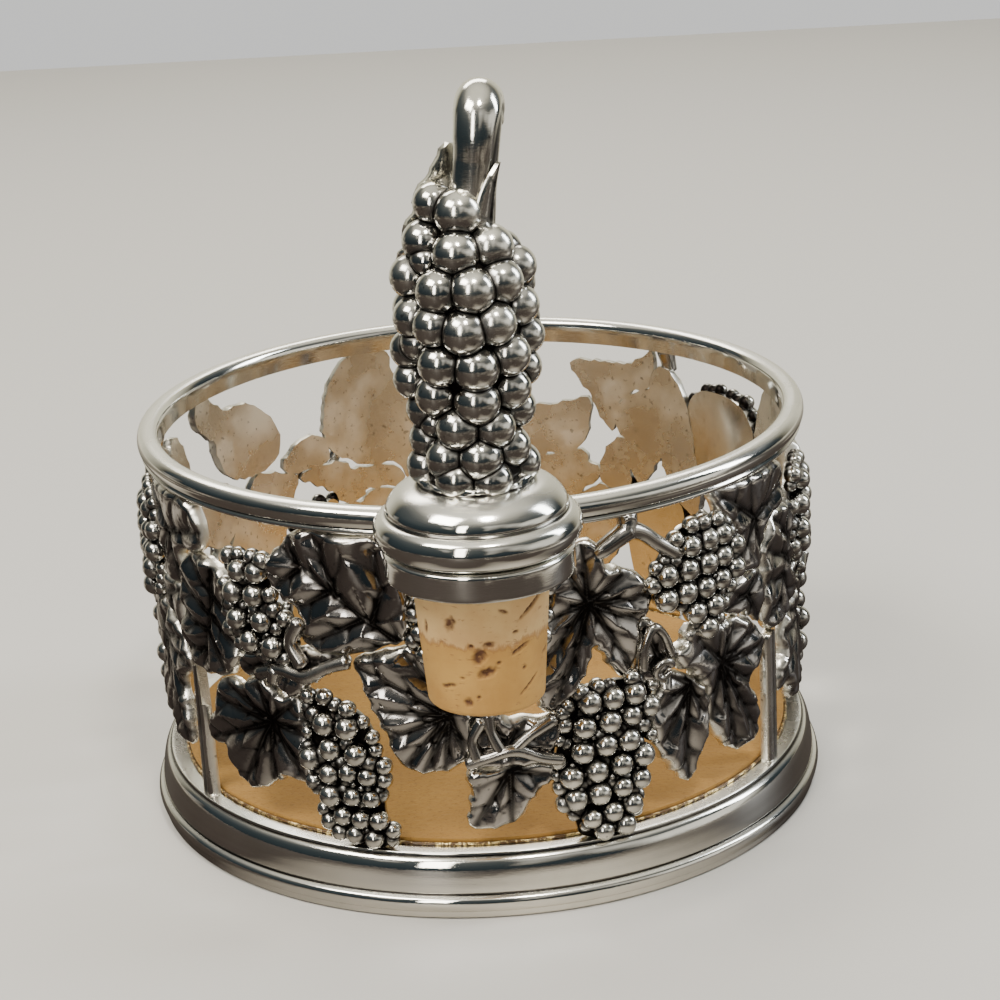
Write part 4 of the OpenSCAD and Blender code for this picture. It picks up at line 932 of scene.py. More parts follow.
FORK = [
    ([(24.7, 71.2, 1.5), (24.6, 69.6, 1.9), (24.2, 68.4, 2.1)], [1.9, 1.8, 1.9]),
    ([(24.6, 68.6, 2.1), (22.6, 67.6, 2.2), (20.2, 66, 1.9), (19, 65.2, 1.6)], [1.9, 1.75, 1.6, 1.3]),
    ([(24.2, 68.8, 2.1), (27, 67.6, 1.9), (30, 65, 1.8), (33, 62.6, 2), (34.4, 61.8, 2)],
     [1.8, 1.5, 1.4, 1.5, 1.2])]
STUMP = ([(17.4, 71.2, 1.6), (17, 69, 1.8), (16.6, 67, 1.8)], [1.9, 1.6, 1.5])
parts = []
for panel, turn in TURNS.items():
    if panel == "right":
        parts.append(wall_tube(*STUMP, turn))
    else:
        parts += [wall_tube(places, radii, turn) for places, radii in FORK]
        parts.append(curl((24.6, 70.2), 0.9, 0.5, turn, out=2.6, sweep=300))
add_casting("vine_forks", parts)


def post_relief(points):
    """A plain post with a rounded face and a shallow groove down its middle."""
    middle = (points[:, 0].min() + points[:, 0].max()) / 2
    across = (points[:, 0] - middle) / (points[:, 0].max() - middle)
    groove = bell(across, 0.22)
    return 0.9 * np.sqrt(np.clip(1 - across ** 2, 0, 1)) - 0.25 * groove, 0.7 * groove, 0.55 + 0 * across


post = toothed(to_flat(POST_OUTLINE)[::-1], np.random.default_rng(5), depth=0.0)
add_casting("wall_posts", [casting_mesh(post, turn, post_relief, FINE_GRID) for turn in TURNS.values()])
print("small castings:", len(SMALL_KINDS) + 3)

# %% [markdown]
# The bunches are heaps of round berries. Geometry Nodes put one ball on each point of a small helper
# mesh, sized by the point's own radius, so that moving a berry means moving one point. The result is
# turned into a plain mesh. Where balls touch, the gaps between them are dark, and the mark for the
# antique finish is worked out from how near a point lies to the next ball or to the back.

# %% Berry tree


def berry_tree():
    """Geometry Nodes: a ball of the point's own radius on every point."""
    tree = bpy.data.node_groups.new("berries", "GeometryNodeTree")
    tree.interface.new_socket("Geometry", in_out="INPUT", socket_type="NodeSocketGeometry")
    roundness = tree.interface.new_socket("Roundness", in_out="INPUT", socket_type="NodeSocketInt")
    tree.interface.new_socket("Geometry", in_out="OUTPUT", socket_type="NodeSocketGeometry")
    source = add_node(tree, "NodeGroupInput").outputs
    ball = add_node(tree, "GeometryNodeMeshIcoSphere", {"Radius": 1.0, "Subdivisions": source["Roundness"]})
    size = add_node(tree, "GeometryNodeInputNamedAttribute", {"Name": "berry_radius"}, data_type="FLOAT")
    balls = add_node(tree, "GeometryNodeInstanceOnPoints", {
        "Points": source["Geometry"], "Instance": ball.outputs["Mesh"], "Scale": size.outputs["Attribute"]})
    real = add_node(tree, "GeometryNodeRealizeInstances", {"Geometry": balls.outputs["Instances"]})
    add_node(tree, "NodeGroupOutput", {"Geometry": real.outputs["Geometry"]})
    return tree, roundness.identifier


BERRY_TREE, BERRY_ROUNDNESS = berry_tree()


def berry_balls(centres, radii, roundness):
    """Points and faces of balls made by the berry tree, in millimetres."""
    mesh = bpy.data.meshes.new("berry_points")
    mesh.from_pydata([tuple(float(c) for c in p) for p in centres], [], [])
    layer = mesh.attributes.new("berry_radius", "FLOAT", "POINT")
    layer.data.foreach_set("value", np.asarray(radii, dtype=np.float32))
    holder = bpy.data.objects.new("berry_points", mesh)
    bpy.context.collection.objects.link(holder)
    modifier = holder.modifiers.new("berries", "NODES")
    modifier.node_group = BERRY_TREE
    modifier[BERRY_ROUNDNESS] = roundness
    bpy.context.view_layer.update()
    evaluated = holder.evaluated_get(bpy.context.evaluated_depsgraph_get())
    balls = bpy.data.meshes.new_from_object(evaluated)
    holder.modifiers.clear()
    verts = np.empty(len(balls.vertices) * 3)
    balls.vertices.foreach_get("co", verts)
    faces = [tuple(p.vertices) for p in balls.polygons]
    bpy.data.meshes.remove(balls)
    bpy.data.objects.remove(holder)
    return verts.reshape(-1, 3), faces


def heap(layers, back, gap=0.7, shine=0.75):
    """Layers of balls as one mesh, with the marks for gaps and for rubbing with painted highlight.

    A layer is a list of centres, a list of radii and a roundness. Back gives each point's distance
    from the surface behind the heap."""
    all_centres = np.concatenate([np.asarray(centres, float).reshape(-1, 3) for centres, _, _ in layers])
    all_radii = np.concatenate([np.asarray(radii, float) for _, radii, _ in layers])
    parts = []
    first = 0
    for centres, radii, roundness in layers:
        if len(centres) == 0:
            continue
        verts, faces = berry_balls(centres, radii, roundness)
        owner = first + np.arange(len(verts)) // (len(verts) // len(centres))
        nearest = np.clip(back(verts), 0, 9)
        for k, (centre, radius) in enumerate(zip(all_centres, all_radii)):
            close = np.linalg.norm(all_centres[owner] - centre, axis=1) < radius + 5
            close &= owner != k
            clear = np.linalg.norm(verts[close] - centre, axis=1) - radius
            nearest[close] = np.minimum(nearest[close], np.maximum(clear, 0))
        recess = np.clip(1 - nearest / gap, 0, 1) ** 1.2
        # Clear of the gaps the berries are made bright: partly rubbed silver, partly a painted highlight.
        rubbed = np.clip((nearest - gap) / 1.6, 0, 1) * shine
        parts.append((verts, faces, {"recess": recess, "rubbed": rubbed}))
        first += len(centres)
    return joined(parts)


# %% [markdown]
# The berries of the four bunches that face the camera stand where the photograph shows them. Those of
# the bunch behind the stopper and of the one at the back follow plain rows: a start, a direction and
# the number in each row. Behind the big berries lies a second layer of smaller ones, seen in the gaps
# and along the edge, and tiny beads fill the corners.

# %% Bunches of the wall
BERRIES = {
    "bunch_small": [(-42.5, 61.5), (-38.8, 61.8), (-44, 57.2), (-39.3, 57.5), (-43.5, 52.2), (-38.2, 52.8),
                    (-41, 48.5), (-36.3, 48.3)],
    "bunch_long": [(-27.3, 35.3), (-23.3, 35), (-26.6, 30.5), (-22, 30.1), (-30.4, 28.2), (-27, 25.8),
                   (-20.3, 26), (-23.6, 26.4), (-27, 21.6), (-23, 21.9), (-19.9, 21.8), (-25, 17.9),
                   (-21.8, 17.6), (-18.8, 17.6), (-23, 14.4), (-19.8, 14)],
    "bunch_large": [(16.5, 38.5), (20.5, 38.5), (24.4, 38.5), (15.5, 33.9), (19.8, 34.2), (23.8, 34.4),
                    (27.2, 35.4), (15, 29.2), (19, 29.8), (23, 30), (13, 24.8), (17.3, 25.2), (21.6, 25.6),
                    (25.6, 26.4), (13.6, 20.4), (17.6, 20.8), (21.6, 21.2), (25, 22), (23.4, 17.4),
                    (19.8, 16.8), (16.2, 16.2), (22, 13.8), (18.2, 13.4)],
    "bunch_high": [(36.3, 62.8), (40, 63.2), (43.6, 63), (31.3, 58.6), (35.4, 58.8), (39.5, 58.8),
                   (43.4, 59), (46.8, 60), (46.4, 55.8), (31, 54.2), (35, 54.6), (39, 54.4),
                   (42.8, 54.8), (37, 50.2), (41, 50.4), (39.4, 46.6)]}
BERRY_ROWS = {"bunch_middle": ((0.6, 62.0), 272, [3, 4, 4, 3, 2]),
              "bunch_back": ((182.6, 58.4), 270, [2, 3, 2, 2])}
ROW_STEP = 3.85
BERRY_STEP = 4.35
REAR_STEP = 3.1
EDGE_STEP = 2.9
BERRY_OUT = 2.7
REAR_OUT = 0.2
BEAD_OUT = 2.9
BEAD_REACH = 6.2


def row_places(start, hang, rows):
    """Places of berries in rows down a hanging bunch."""
    places = []
    lean = math.radians(hang)
    for i, number in enumerate(rows):
        for k in range(number):
            down = i * ROW_STEP
            side = (k - (number - 1) / 2 + (-0.25 if i % 2 == 0 else 0.25)) * BERRY_STEP
            places.append((start[0] + (down * math.cos(lean) - side * math.sin(lean)) / MM_PER_DEGREE,
                           start[1] + down * math.sin(lean) + side * math.cos(lean)))
    return places


def rear_places(outline, front, rng):
    """A loose grid of points inside the outline and points along it, clear of the table and the rim."""
    points = staggered(outline, REAR_STEP, REAR_STEP * 0.9)
    points += rng.normal(0, 0.4, points.shape)
    points = points[inside(points, outline) & (edge_distance(points, outline) > 0.9)]
    loop = np.concatenate([outline, outline[:1]])
    total = np.append(0, np.cumsum(np.linalg.norm(np.diff(loop, axis=0), axis=1)))
    along = np.arange(0, total[-1], EDGE_STEP)
    along += rng.normal(0, 0.4, len(along))
    ring = np.stack([np.interp(along, total, loop[:, i]) for i in (0, 1)], 1)
    ring += rng.normal(0, 0.35, ring.shape)
    points = np.concatenate([points, ring])
    points = points[np.linalg.norm(points[:, None] - front[None], axis=2).min(1) > 1.5]
    return points[(points[:, 1] > 1.8) & (points[:, 1] < WALL_H - 1.6)]


def bunch_parts(kind, turn):
    """The plate and the berries of one bunch, as two meshes."""
    rng = np.random.default_rng(len(kind) * 31)
    flat = to_flat(BUNCH_OUTLINES[kind])
    after = np.roll(flat, -1, 0)
    if np.sum(flat[:, 0] * after[:, 1] - flat[:, 1] * after[:, 0]) > 0:
        flat = flat[::-1]
    outline = rounded(rounded(flat, 0.25), 0.25)

    def backing(points):
        edge = edge_distance(points, outline)
        return (1 - np.exp(-edge / 0.8)) * 0.3, 0.9 + 0 * edge, 0 * edge

    places = BERRIES.get(kind) or row_places(*BERRY_ROWS[kind])
    front = heights_to_flat(places)
    gaps = np.linalg.norm(front[:, None] - front[None], axis=2) + np.eye(len(places)) * 99
    radii = np.clip(gaps.min(1) * 0.54, 1.85, 2.25)
    rear = rear_places(outline, front, rng)
    pairs = [(i, j) for i, j in itertools.combinations(range(len(front)), 2) if gaps[i, j] < BEAD_REACH]
    beads = np.array([(front[i] + front[j]) / 2 + rng.normal(0, 0.5, 2) for i, j in pairs])
    beads = beads[rng.random(len(beads)) < 0.7]
    rear_radii = 1.3 + 0.5 * rng.random(len(rear))
    front_outs = BACK_R + BERRY_OUT + 0.35 * (rng.random(len(front)) - 0.5)
    bead_outs = BACK_R + BEAD_OUT + 0.3 * rng.random(len(beads))
    layers = [
        (on_wall(front, turn, front_outs), radii, 3),
        (on_wall(rear, turn, BACK_R + REAR_OUT + rear_radii), rear_radii, 2),
        (on_wall(beads, turn, bead_outs), 0.45 + 0.25 * rng.random(len(beads)), 1)]
    return [casting_mesh(outline, turn, backing, FINE_GRID * 3),
            heap(layers, lambda verts: np.hypot(verts[:, 0], verts[:, 1]) - EDGE_R)]


bunches = [add_casting(node_name, bunch_parts(kind, turn), GRAPES)
           for node_name, kind, turn in wall_nodes(BUNCH_OUTLINES)]
print("bunches:", len(bunches))

# %% [markdown]
# Rim, foot, holder ring and cap were spun on a lathe, and so are they here: a profile is turned round an
# axis. The profile is drawn with few points and rounded by a curve between them, and fine steps round
# the axis keep the long reflections straight.

# %% Lathe helpers
SIDES = 320


def smooth_profile(points, steps=5, closed=False):
    """A curve through profile points. A point with a third value of 1 stays a sharp corner."""
    result = []
    count = len(points)
    for i in range(count if closed else count - 1):
        a, b = points[i], points[(i + 1) % count]
        before = points[i - 1] if (i > 0 or closed) else a
        after = points[(i + 2) % count] if (i + 2 < count or closed) else b
        around = (a if len(a) > 2 else before, a, b, b if len(b) > 2 else after)
        four = [np.array(p[:2], dtype=float) for p in around]
        result += [curve_point(*four, k / steps) for k in range(steps)]
    if not closed:
        result.append(np.array(points[-1][:2], dtype=float))
    return np.array(result)


def circles(profile, centre_y, sides, wobble=None):
    """A circle of points round a vertical axis for each profile point."""
    turns = np.arange(sides) * 2 * math.pi / sides
    result = []
    for r, z in profile:
        radius = r + (wobble(turns, r, z) if wobble else 0 * turns)
        result.append(np.stack([radius * np.sin(turns), centre_y - radius * np.cos(turns), 0 * turns + z], 1))
    return result


def lathe(profile, centre_y=0.0, sides=SIDES):
    """Points and faces of a closed profile turned round a vertical axis. Profile points run from the
    inside of the bottom up the outside, so that faces point outwards."""
    count = len(profile)
    faces = [face for i in range(count) for face in band(i * sides, (i + 1) % count * sides, sides)]
    return np.concatenate(circles(profile, centre_y, sides)), faces


def turned(profile, centre_y=0.0, sides=160, wobble=None):
    """A solid of revolution from an open profile that starts and ends on the axis."""
    ends = [(0, centre_y, profile[0][1]), (0, centre_y, profile[-1][1])]
    return skin(circles(profile[1:-1], centre_y, sides, wobble), *ends)


def seam_marks(verts, seams, width=0.22, centre_y=0.0):
    """Dark where a point lies near one of the seam circles (radius, height)."""
    r = np.hypot(verts[:, 0], verts[:, 1] - centre_y)
    dark = [bell(np.hypot(r - seam_r, verts[:, 2] - seam_z), width) for seam_r, seam_z in seams]
    return {"recess": np.max(dark, axis=0)}


def add_ring(name, node, profile, seams, width=0.22, centre_y=0.0, sides=SIDES):
    """A polished ring, turned from a closed profile, with dark seams."""
    verts, faces = lathe(smooth_profile(profile, closed=True), centre_y, sides)
    marks = seam_marks(verts, seams, width, centre_y)
    return add_piece(name, node, (verts, faces, marks), SILVER, slot="polished_silver")


# %% [markdown]
# The rim is a rounded band with a straight face and a fine bead along its lower edge. The foot has a
# narrow flat lip, a shoulder that swells outwards, a groove, and a round bead above the table. Both are
# thin plate, so the foot is hollow underneath.

# %% Rim and foot
RIM_PROFILE = [
    (59.35, 71.35, 1), (62.35, 71.35, 1), (62.75, 71.5), (62.95, 71.9), (62.75, 72.3), (62.6, 72.5, 1),
    (62.75, 72.62, 1), (63.1, 72.8), (63.42, 73.5), (63.5, 74.2), (63.3, 75.1), (62.75, 75.8),
    (61.9, 76.15), (61.2, 76.2), (60.4, 76.1), (59.75, 75.65), (59.4, 74.9), (59.32, 74, 1)]
FOOT_PROFILE = [
    (58.0, 10.4, 1), (61.4, 10.3, 1), (62.6, 9.2), (63.2, 7.0), (63.5, 4.4), (63.7, 3.0), (63.55, 0.3, 1),
    (64.85, 0.3, 1), (64.95, 0.6), (64.95, 1.45, 1), (65.25, 1.75), (65.58, 2.5), (65.6, 3.2), (65.3, 3.95),
    (64.7, 4.35), (64.42, 4.45, 1), (64.36, 4.75, 1), (64.55, 4.95), (64.5, 5.8), (64.36, 6.8),
    (64.18, 8.0), (63.9, 9.3), (63.5, 10.3), (63.1, 10.8), (62.72, 11.05, 1), (62.55, 11.12, 1),
    (62.5, 11.3), (62.4, 11.62), (62.1, 11.7), (61, 11.7, 1), (58.0, 11.7, 1)]
add_ring("top_rim_band", "top_rim", RIM_PROFILE, [(62.6, 72.5), (62.6, 71.3)])
foot = add_ring("foot_ring_plate", "foot_ring", FOOT_PROFILE, [(64.4, 4.55), (62.6, 11.1), (59.2, 11.7)], 0.3)
print("rim and foot:", len(foot.data.polygons), "faces on the foot")

# %% [markdown]
# The floor is lined with tan felt. Its surface is a little uneven, and a rough bead of glue and bright
# filings shows along its edge, where the lining meets the silver lip.

# %% Lining, base board and underside


def felt_material(name, light, dark, fleck):
    material, tree = new_material(name)
    place = object_place(tree)
    cloud = add_range(tree, add_noise(tree, place, 45, 4), 0.3, 0.7)
    fibre = add_range(tree, add_noise(tree, place, 700, 3, 0.7), 0.35, 0.65)
    flecks = add_range(tree, add_noise(tree, place, 1100, 3, 0.8), 0.5, 0.7)
    mottled = add_layer(tree, add_mix(tree, cloud, light, dark), fibre, 0.35, dark)
    flecked = add_layer(tree, mottled, flecks, 0.4, fleck)
    nap = add_math(tree, "ADD", add_noise(tree, place, 900, 2, 0.7), add_noise(tree, place, 160, 3))
    return shaded(material, flecked, add_bump(tree, nap, 0.6, 0.0003), 0.95, {"Sheen Weight": 0.05})


def grit_material():
    material, tree = new_material("golden_grit")
    place = object_place(tree)
    grains = add_range(tree, add_noise(tree, place, 800, 5, 0.8), 0.5, 0.58)
    colour = add_mix(tree, grains, (0.10, 0.05, 0.015), (1.0, 0.78, 0.36))
    bump = add_bump(tree, add_noise(tree, place, 700, 2, 0.7), 0.8, 0.0003)
    return shaded(material, colour, bump, 0.3, {"Metallic": grains})


def wood_material():
    material, tree = new_material("turned_wood")
    grain = add_noise(tree, object_place(tree, (1, 7, 1)), 60, 6, 0.6)
    colour = add_mix(tree, add_range(tree, grain, 0.35, 0.65), (0.20, 0.11, 0.055), (0.10, 0.05, 0.024))
    return shaded(material, colour, add_bump(tree, grain, 0.3, 0.0002), 0.55)


def pad(radius, low, high, edge, rings, rough, rng):
    """A round pad with a soft edge and an uneven top."""
    flat_r = radius - edge
    profile = [(0, low), (flat_r, low), (radius, low + edge), (radius, high - edge),
               (radius - edge * 0.3, high - edge * 0.3)]
    profile += [(flat_r - flat_r * k / rings, high) for k in range(rings + 1)]
    verts, faces = turned(profile)
    on_top = verts[:, 2] > high - 1e-6
    flat = verts[on_top, :2]
    broad = 0.5 + 0.5 * ripple(flat, 16, rng)
    verts[on_top, 2] -= rough * (broad + 0.2 * (1 + ripple(flat, 3, rng)))
    return verts, faces


def grit_bead(radius, thick, z, steps, rng):
    """A rough bead that runs round the floor's edge."""
    angle = np.arange(steps) * 2 * math.pi / steps
    verts, faces = [], []
    sides = 8
    for s in range(sides):
        a = 2 * math.pi * s / sides
        bumps = rng.random(steps)
        bumps = (bumps + np.roll(bumps, 1) + np.roll(bumps, 2) + np.roll(bumps, 3)) / 4
        size = thick * (0.6 + 0.6 * bumps)
        r = radius + size * math.cos(a)
        verts.append(np.stack([r * np.sin(angle), -r * np.cos(angle), z + size * math.sin(a)], 1))
        faces += band(s * steps, (s + 1) % sides * steps, steps)
    return np.concatenate(verts), faces


FELT = felt_material("tan_felt", (0.37, 0.203, 0.046), (0.28, 0.145, 0.03), (0.12, 0.055, 0.015))
BASE_FELT = felt_material("base_felt", (0.05, 0.075, 0.04), (0.03, 0.045, 0.025), (0.09, 0.11, 0.07))
BOARD_PROFILE = [
    (0, 0.92), (60.9, 0.92), (61.35, 1.3), (61.35, 9.8), (60.9, 10.2), (57.7, 10.2), (57.7, 11.6), (0, 11.6)]
rng = np.random.default_rng(11)
add_piece("lining_felt", "floor_lining", pad(59.0, 11.75, FELT_TOP_Z, 0.35, 70, 0.16, rng), FELT, "tan_felt")
grit = grit_bead(WELL_R, 0.33, 11.98, 1400, rng)
add_piece("lining_seam", "floor_lining", grit, grit_material(), "tan_felt")
add_piece("underside_felt", "foot_felt", pad(59.9, 0.0, 0.9, 0.2, 20, 0.0, rng), BASE_FELT, "base_felt")
add_piece("base_board_turned", "base_board", turned(BOARD_PROFILE), wood_material(), "dark_wood")
print("lining, base felt and board are in place")

# %% [markdown]
# The holder is a plain ring, soldered to the rim by a small saddle. The stopper's cap lies on it.

# %% Holder ring and saddle
HOLDER_PROFILE = [
    (13.22, 71.42, 1), (15.1, 71.42, 1), (15.5, 71.6), (15.68, 72.1), (RING_R, 73.2), (15.66, 75.4),
    (15.45, 75.95), (15.05, 76.22), (14.4, 76.3), (13.6, 76.28), (13.3, 76.0), (13.22, 75.5, 1)]
add_ring("holder_ring_band", "holder_ring", HOLDER_PROFILE, [(RING_R, 71.4)], 0.3, RING_Y, SIDES // 2)

SADDLE_HALF = 6.6
SADDLE_STEPS = 14
SADDLE_BITE = 0.5
SADDLE_LEVELS = [(71.9, -0.5), (72.4, 0), (74.8, 0), (75.5, -0.6)]


def saddle_shape():
    """A block between the rim's circle and the ring's, a little narrower at the top and the bottom."""
    xs = np.linspace(-SADDLE_HALF, SADDLE_HALF, SADDLE_STEPS + 1)
    ring_side = RING_Y + np.sqrt(RING_R ** 2 - xs ** 2) - SADDLE_BITE
    rim_side = -np.sqrt(RIM_R ** 2 - xs ** 2) + SADDLE_BITE
    across = np.append(xs, xs[::-1])
    depth = np.append(ring_side, rim_side[::-1])
    verts = [(x * (1 + inset / 12), y, z) for z, inset in SADDLE_LEVELS for x, y in zip(across, depth)]
    loop = len(across)
    top = (len(SADDLE_LEVELS) - 1) * loop
    faces = [face for start in range(0, top, loop) for face in band(start, start + loop, loop)]
    for k in range(SADDLE_STEPS):
        faces.append((top + k, top + k + 1, top + loop - 2 - k, top + loop - 1 - k))
        faces.append((k, loop - 1 - k, loop - 2 - k, k + 1))
    return verts, faces, {"recess": np.full(len(verts), 0.25)}


add_piece("holder_saddle_block", "holder_saddle", saddle_shape(), SILVER, "polished_silver")
print("holder is in place")

# %% [markdown]
# The stopper's cap is spun too: a swelling flange, a groove, a dome and a short neck. Below it hangs the
# cork on a steel stud. Heights in this profile are counted from the seat on the ring.

# %% Cap and stud
STUD_R = 3.0
HOLE_R = 3.06
HOLE_TOP = 7.0
STUD_FOOT = -15.95
THREAD_STEP = 0.75
THREAD_DEPTH = 0.35
LOBES = 9
LOBE_START = 10.9
CAP_PROFILE = [
    (HOLE_R, 0, 1), (13.4, 0, 1), (14.0, 0.02), (15.4, 0.32), (16.5, 1.2), (17.05, 2.5), (17.05, 3.7),
    (16.5, 5.0), (15.6, 5.72), (15.0, 5.86, 1), (14.78, 6.1, 1), (14.95, 6.5), (14.6, 7.7), (13.4, 9.2),
    (11.8, 10.2), (10.2, 10.75), (9.5, 10.86, 1), (9.2, 10.95, 1), (9.2, 11.5), (9.0, 11.9), (8.5, 12.0, 1),
    (0.0, 12.0)]


def plinth_lobes(turns, r, z):
    """The neck is slightly lobed, as the berries were cast into it."""
    rise = min(max((z - SEAT_Z - LOBE_START) / 0.6, 0), 1) if r >= 8 else 0
    return 0.3 * rise * np.cos(turns * LOBES)


cap_profile = np.concatenate([[(0, HOLE_TOP), (HOLE_R, HOLE_TOP)], smooth_profile(CAP_PROFILE)]) + (0, SEAT_Z)
verts, faces = turned(cap_profile, RING_Y, SIDES // 2, plinth_lobes)
marks = seam_marks(verts, [(14.9, SEAT_Z + 5.95), (9.35, SEAT_Z + 10.9)], 0.26, RING_Y)
add_piece("stopper_cap_spun", "stopper_cap", (verts, faces, marks), SILVER, "polished_silver")

stud_profile = [(0, STUD_FOOT), (2.5, STUD_FOOT), (STUD_R, -15.4)]
for z in np.arange(-15.2, 6.0, THREAD_STEP):
    stud_profile += [(STUD_R, z), (STUD_R, z + 0.25), (STUD_R - THREAD_DEPTH, z + 0.5)]
stud_profile += [(STUD_R, 6.3), (2.6, 6.9), (0, 6.9)]
stud = turned(np.array(stud_profile) + (0, SEAT_Z), RING_Y, sides=48)
add_piece("stud_threaded", "stopper_stud", stud, STEEL, "steel")

# %% [markdown]
# Cork is cut from bark: pale and smooth, crossed by dark pores and cracks. The lower half of this one
# is stained by wine up to an uneven line. Its deeper pores are real dents in the mesh; the finer ones
# come from the material.

# %% Cork
CORK_TOP_R, CORK_BOTTOM_R, CORK_H = 11.78, 9.68, 26.8
CORK_EDGE = 0.7
CORK_MM_PER_DEGREE = 0.18
BORE_DEPTH = 16.0
PORES = [
    # angle from the front, height above the cork's foot, half width, half height, slant, depth
    (-30, 16.6, 1.5, 0.9, 60, 0.6), (-5, 10.9, 1.6, 1.2, 60, 0.9), (1, 8.0, 1.7, 0.9, 20, 0.9),
    (4, 13.0, 1.1, 0.6, 10, 0.7), (-12, 12.8, 0.5, 0.4, 0, 0.5), (12, 9.6, 0.45, 0.35, 0, 0.4),
    (-22, 7.0, 0.4, 0.3, 0, 0.4), (28, 14.6, 0.5, 0.3, 0, 0.4), (-40, 21.0, 0.6, 0.3, 0, 0.4),
    (8, 21.4, 0.5, 0.3, 0, 0.4), (-8, 3.6, 0.4, 0.35, 0, 0.4), (38, 7.8, 0.5, 0.35, 0, 0.4),
    (33, 11.4, 2.0, 0.45, 25, 0.6), (46, 18.4, 3.4, 0.4, 35, 0.7),
    (17, 18.6, 1.0, 0.35, -30, 0.35), (-18, 2.6, 0.9, 0.8, 50, 0.6), (24, 22.6, 0.8, 0.5, 30, 0.5),
    (44, 4.4, 2.6, 0.3, 35, 0.4), (78, 9.0, 2.4, 0.5, 10, 0.7), (96, 16.0, 1.8, 0.6, 60, 0.7),
    (130, 6.0, 1.6, 0.5, 20, 0.6), (150, 19.0, 2.6, 0.5, -20, 0.7), (182, 11.0, 2.2, 0.7, 70, 0.8),
    (214, 4.6, 1.4, 0.5, 10, 0.5), (236, 17.0, 2.0, 0.5, 40, 0.7), (268, 9.4, 2.4, 0.6, -35, 0.7),
    (300, 14.8, 1.5, 0.5, 80, 0.6), (322, 5.2, 1.8, 0.4, 15, 0.5)]


def cork_mesh():
    """Rings from the middle of the foot, up the side and down the stud's bore, with dents for the pores."""
    cols, rows = ((300, 130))
    rng = np.random.default_rng(23)
    turns, height = np.meshgrid(np.arange(cols) * 2 * math.pi / cols, np.linspace(0, CORK_H, rows))
    turns, height = turns.ravel(), height.ravel()
    cone = CORK_BOTTOM_R + (CORK_TOP_R - CORK_BOTTOM_R) * height / CORK_H
    radius = cone - CORK_EDGE * 0.6 * np.clip((CORK_EDGE - height) / CORK_EDGE, 0, 1) ** 2
    flat = np.stack([np.degrees(turns) * CORK_MM_PER_DEGREE, height], 1)
    pore = np.zeros(len(flat))
    for deg, middle, half_w, half_h, slant, depth in PORES:
        x = ((np.degrees(turns) - deg + 180) % 360 - 180) * CORK_MM_PER_DEGREE
        y = height - middle
        c, s = math.cos(math.radians(slant)), math.sin(math.radians(slant))
        away = np.hypot((x * c + y * s) / half_w, (-x * s + y * c) / half_h)
        hollow = np.clip(1.15 - away + 0.35 * ripple(flat, 1.1, rng), 0, 1) * np.clip(1.8 - away, 0, 1)
        radius -= depth * hollow ** 0.8 * 0.8
        pore = np.maximum(pore, np.clip(hollow * 1.5, 0, 1))
    radius = np.minimum(radius + 0.03 * ripple(flat, 3.0, rng), cone)
    foot_z = SEAT_Z - CORK_H
    side = np.stack([radius * np.sin(turns), RING_Y - radius * np.cos(turns), foot_z + height], 1)
    foot = circles([(0.4 * CORK_BOTTOM_R, foot_z), (0.75 * CORK_BOTTOM_R, foot_z)], RING_Y, cols)
    bore = circles([(HOLE_R, SEAT_Z), (HOLE_R, SEAT_Z - BORE_DEPTH)], RING_Y, cols)
    rings = [*foot, *side.reshape(rows, cols, 3), *bore]
    verts, faces = skin(rings, (0, RING_Y, foot_z), (0, RING_Y, SEAT_Z - BORE_DEPTH))
    return verts, faces, {"pore": np.pad(pore, (2 * cols, 2 * cols + 2))}


def cork_material():
    material, tree = new_material("natural_cork")
    place = object_place(tree)
    up = add_node(tree, "ShaderNodeSeparateXYZ", {0: place}).outputs["Z"]
    edge_noise = add_noise(tree, object_place(tree, (1, 1, 0.35)), 260, 5, 0.75)
    level = add_math(tree, "ADD", up, add_math(tree, "MULTIPLY", edge_noise, 0.006))
    cloud = add_range(tree, add_noise(tree, place, 120, 4), 0.3, 0.7)
    pale = add_mix(tree, cloud, (0.57, 0.38, 0.165), (0.49, 0.30, 0.12))
    wine = add_mix(tree, cloud, (0.47, 0.27, 0.07), (0.39, 0.205, 0.05))
    colour = add_mix(tree, add_range(tree, level, 0.0653, 0.0647), pale, wine)
    over, under = add_range(tree, level, 0.0643, 0.0648), add_range(tree, level, 0.0657, 0.0652)
    line = add_math(tree, "MULTIPLY", over, under)
    colour = add_layer(tree, colour, line, 0.5, (0.27, 0.12, 0.035))
    fine = add_range(tree, add_noise(tree, object_place(tree, (1, 1, 3)), 520, 3, 0.6), 0.61, 0.7)
    colour = add_layer(tree, colour, fine, 0.5, (0.22, 0.10, 0.04))
    crumbs = add_range(tree, add_noise(tree, place, 1400, 3), 0.3, 0.5, 0.55, 1.0)
    deep = add_math(tree, "MULTIPLY", add_mark(tree, "pore"), crumbs, clamp=True)
    colour = add_mix(tree, deep, colour, (0.10, 0.038, 0.014))
    relief = add_math(tree, "SUBTRACT", add_noise(tree, place, 650, 4, 0.65), fine)
    return shaded(material, colour, add_bump(tree, relief, 0.45, 0.0002), 0.78)


cork = add_piece("cork_plug", "stopper_cork", cork_mesh(), cork_material(), "cork")
print("cork:", len(cork.data.polygons), "faces")

# %% [markdown]
# The bunch on top is a heap of berries round a spindle. The berries of the front half stand where the
# photograph shows them, as a distance from the axis to the right and a height. The back half is the same
# list turned round, without the outermost berries, which both halves would share. A few more close the
# sides, as an angle from the front, a height and a size.

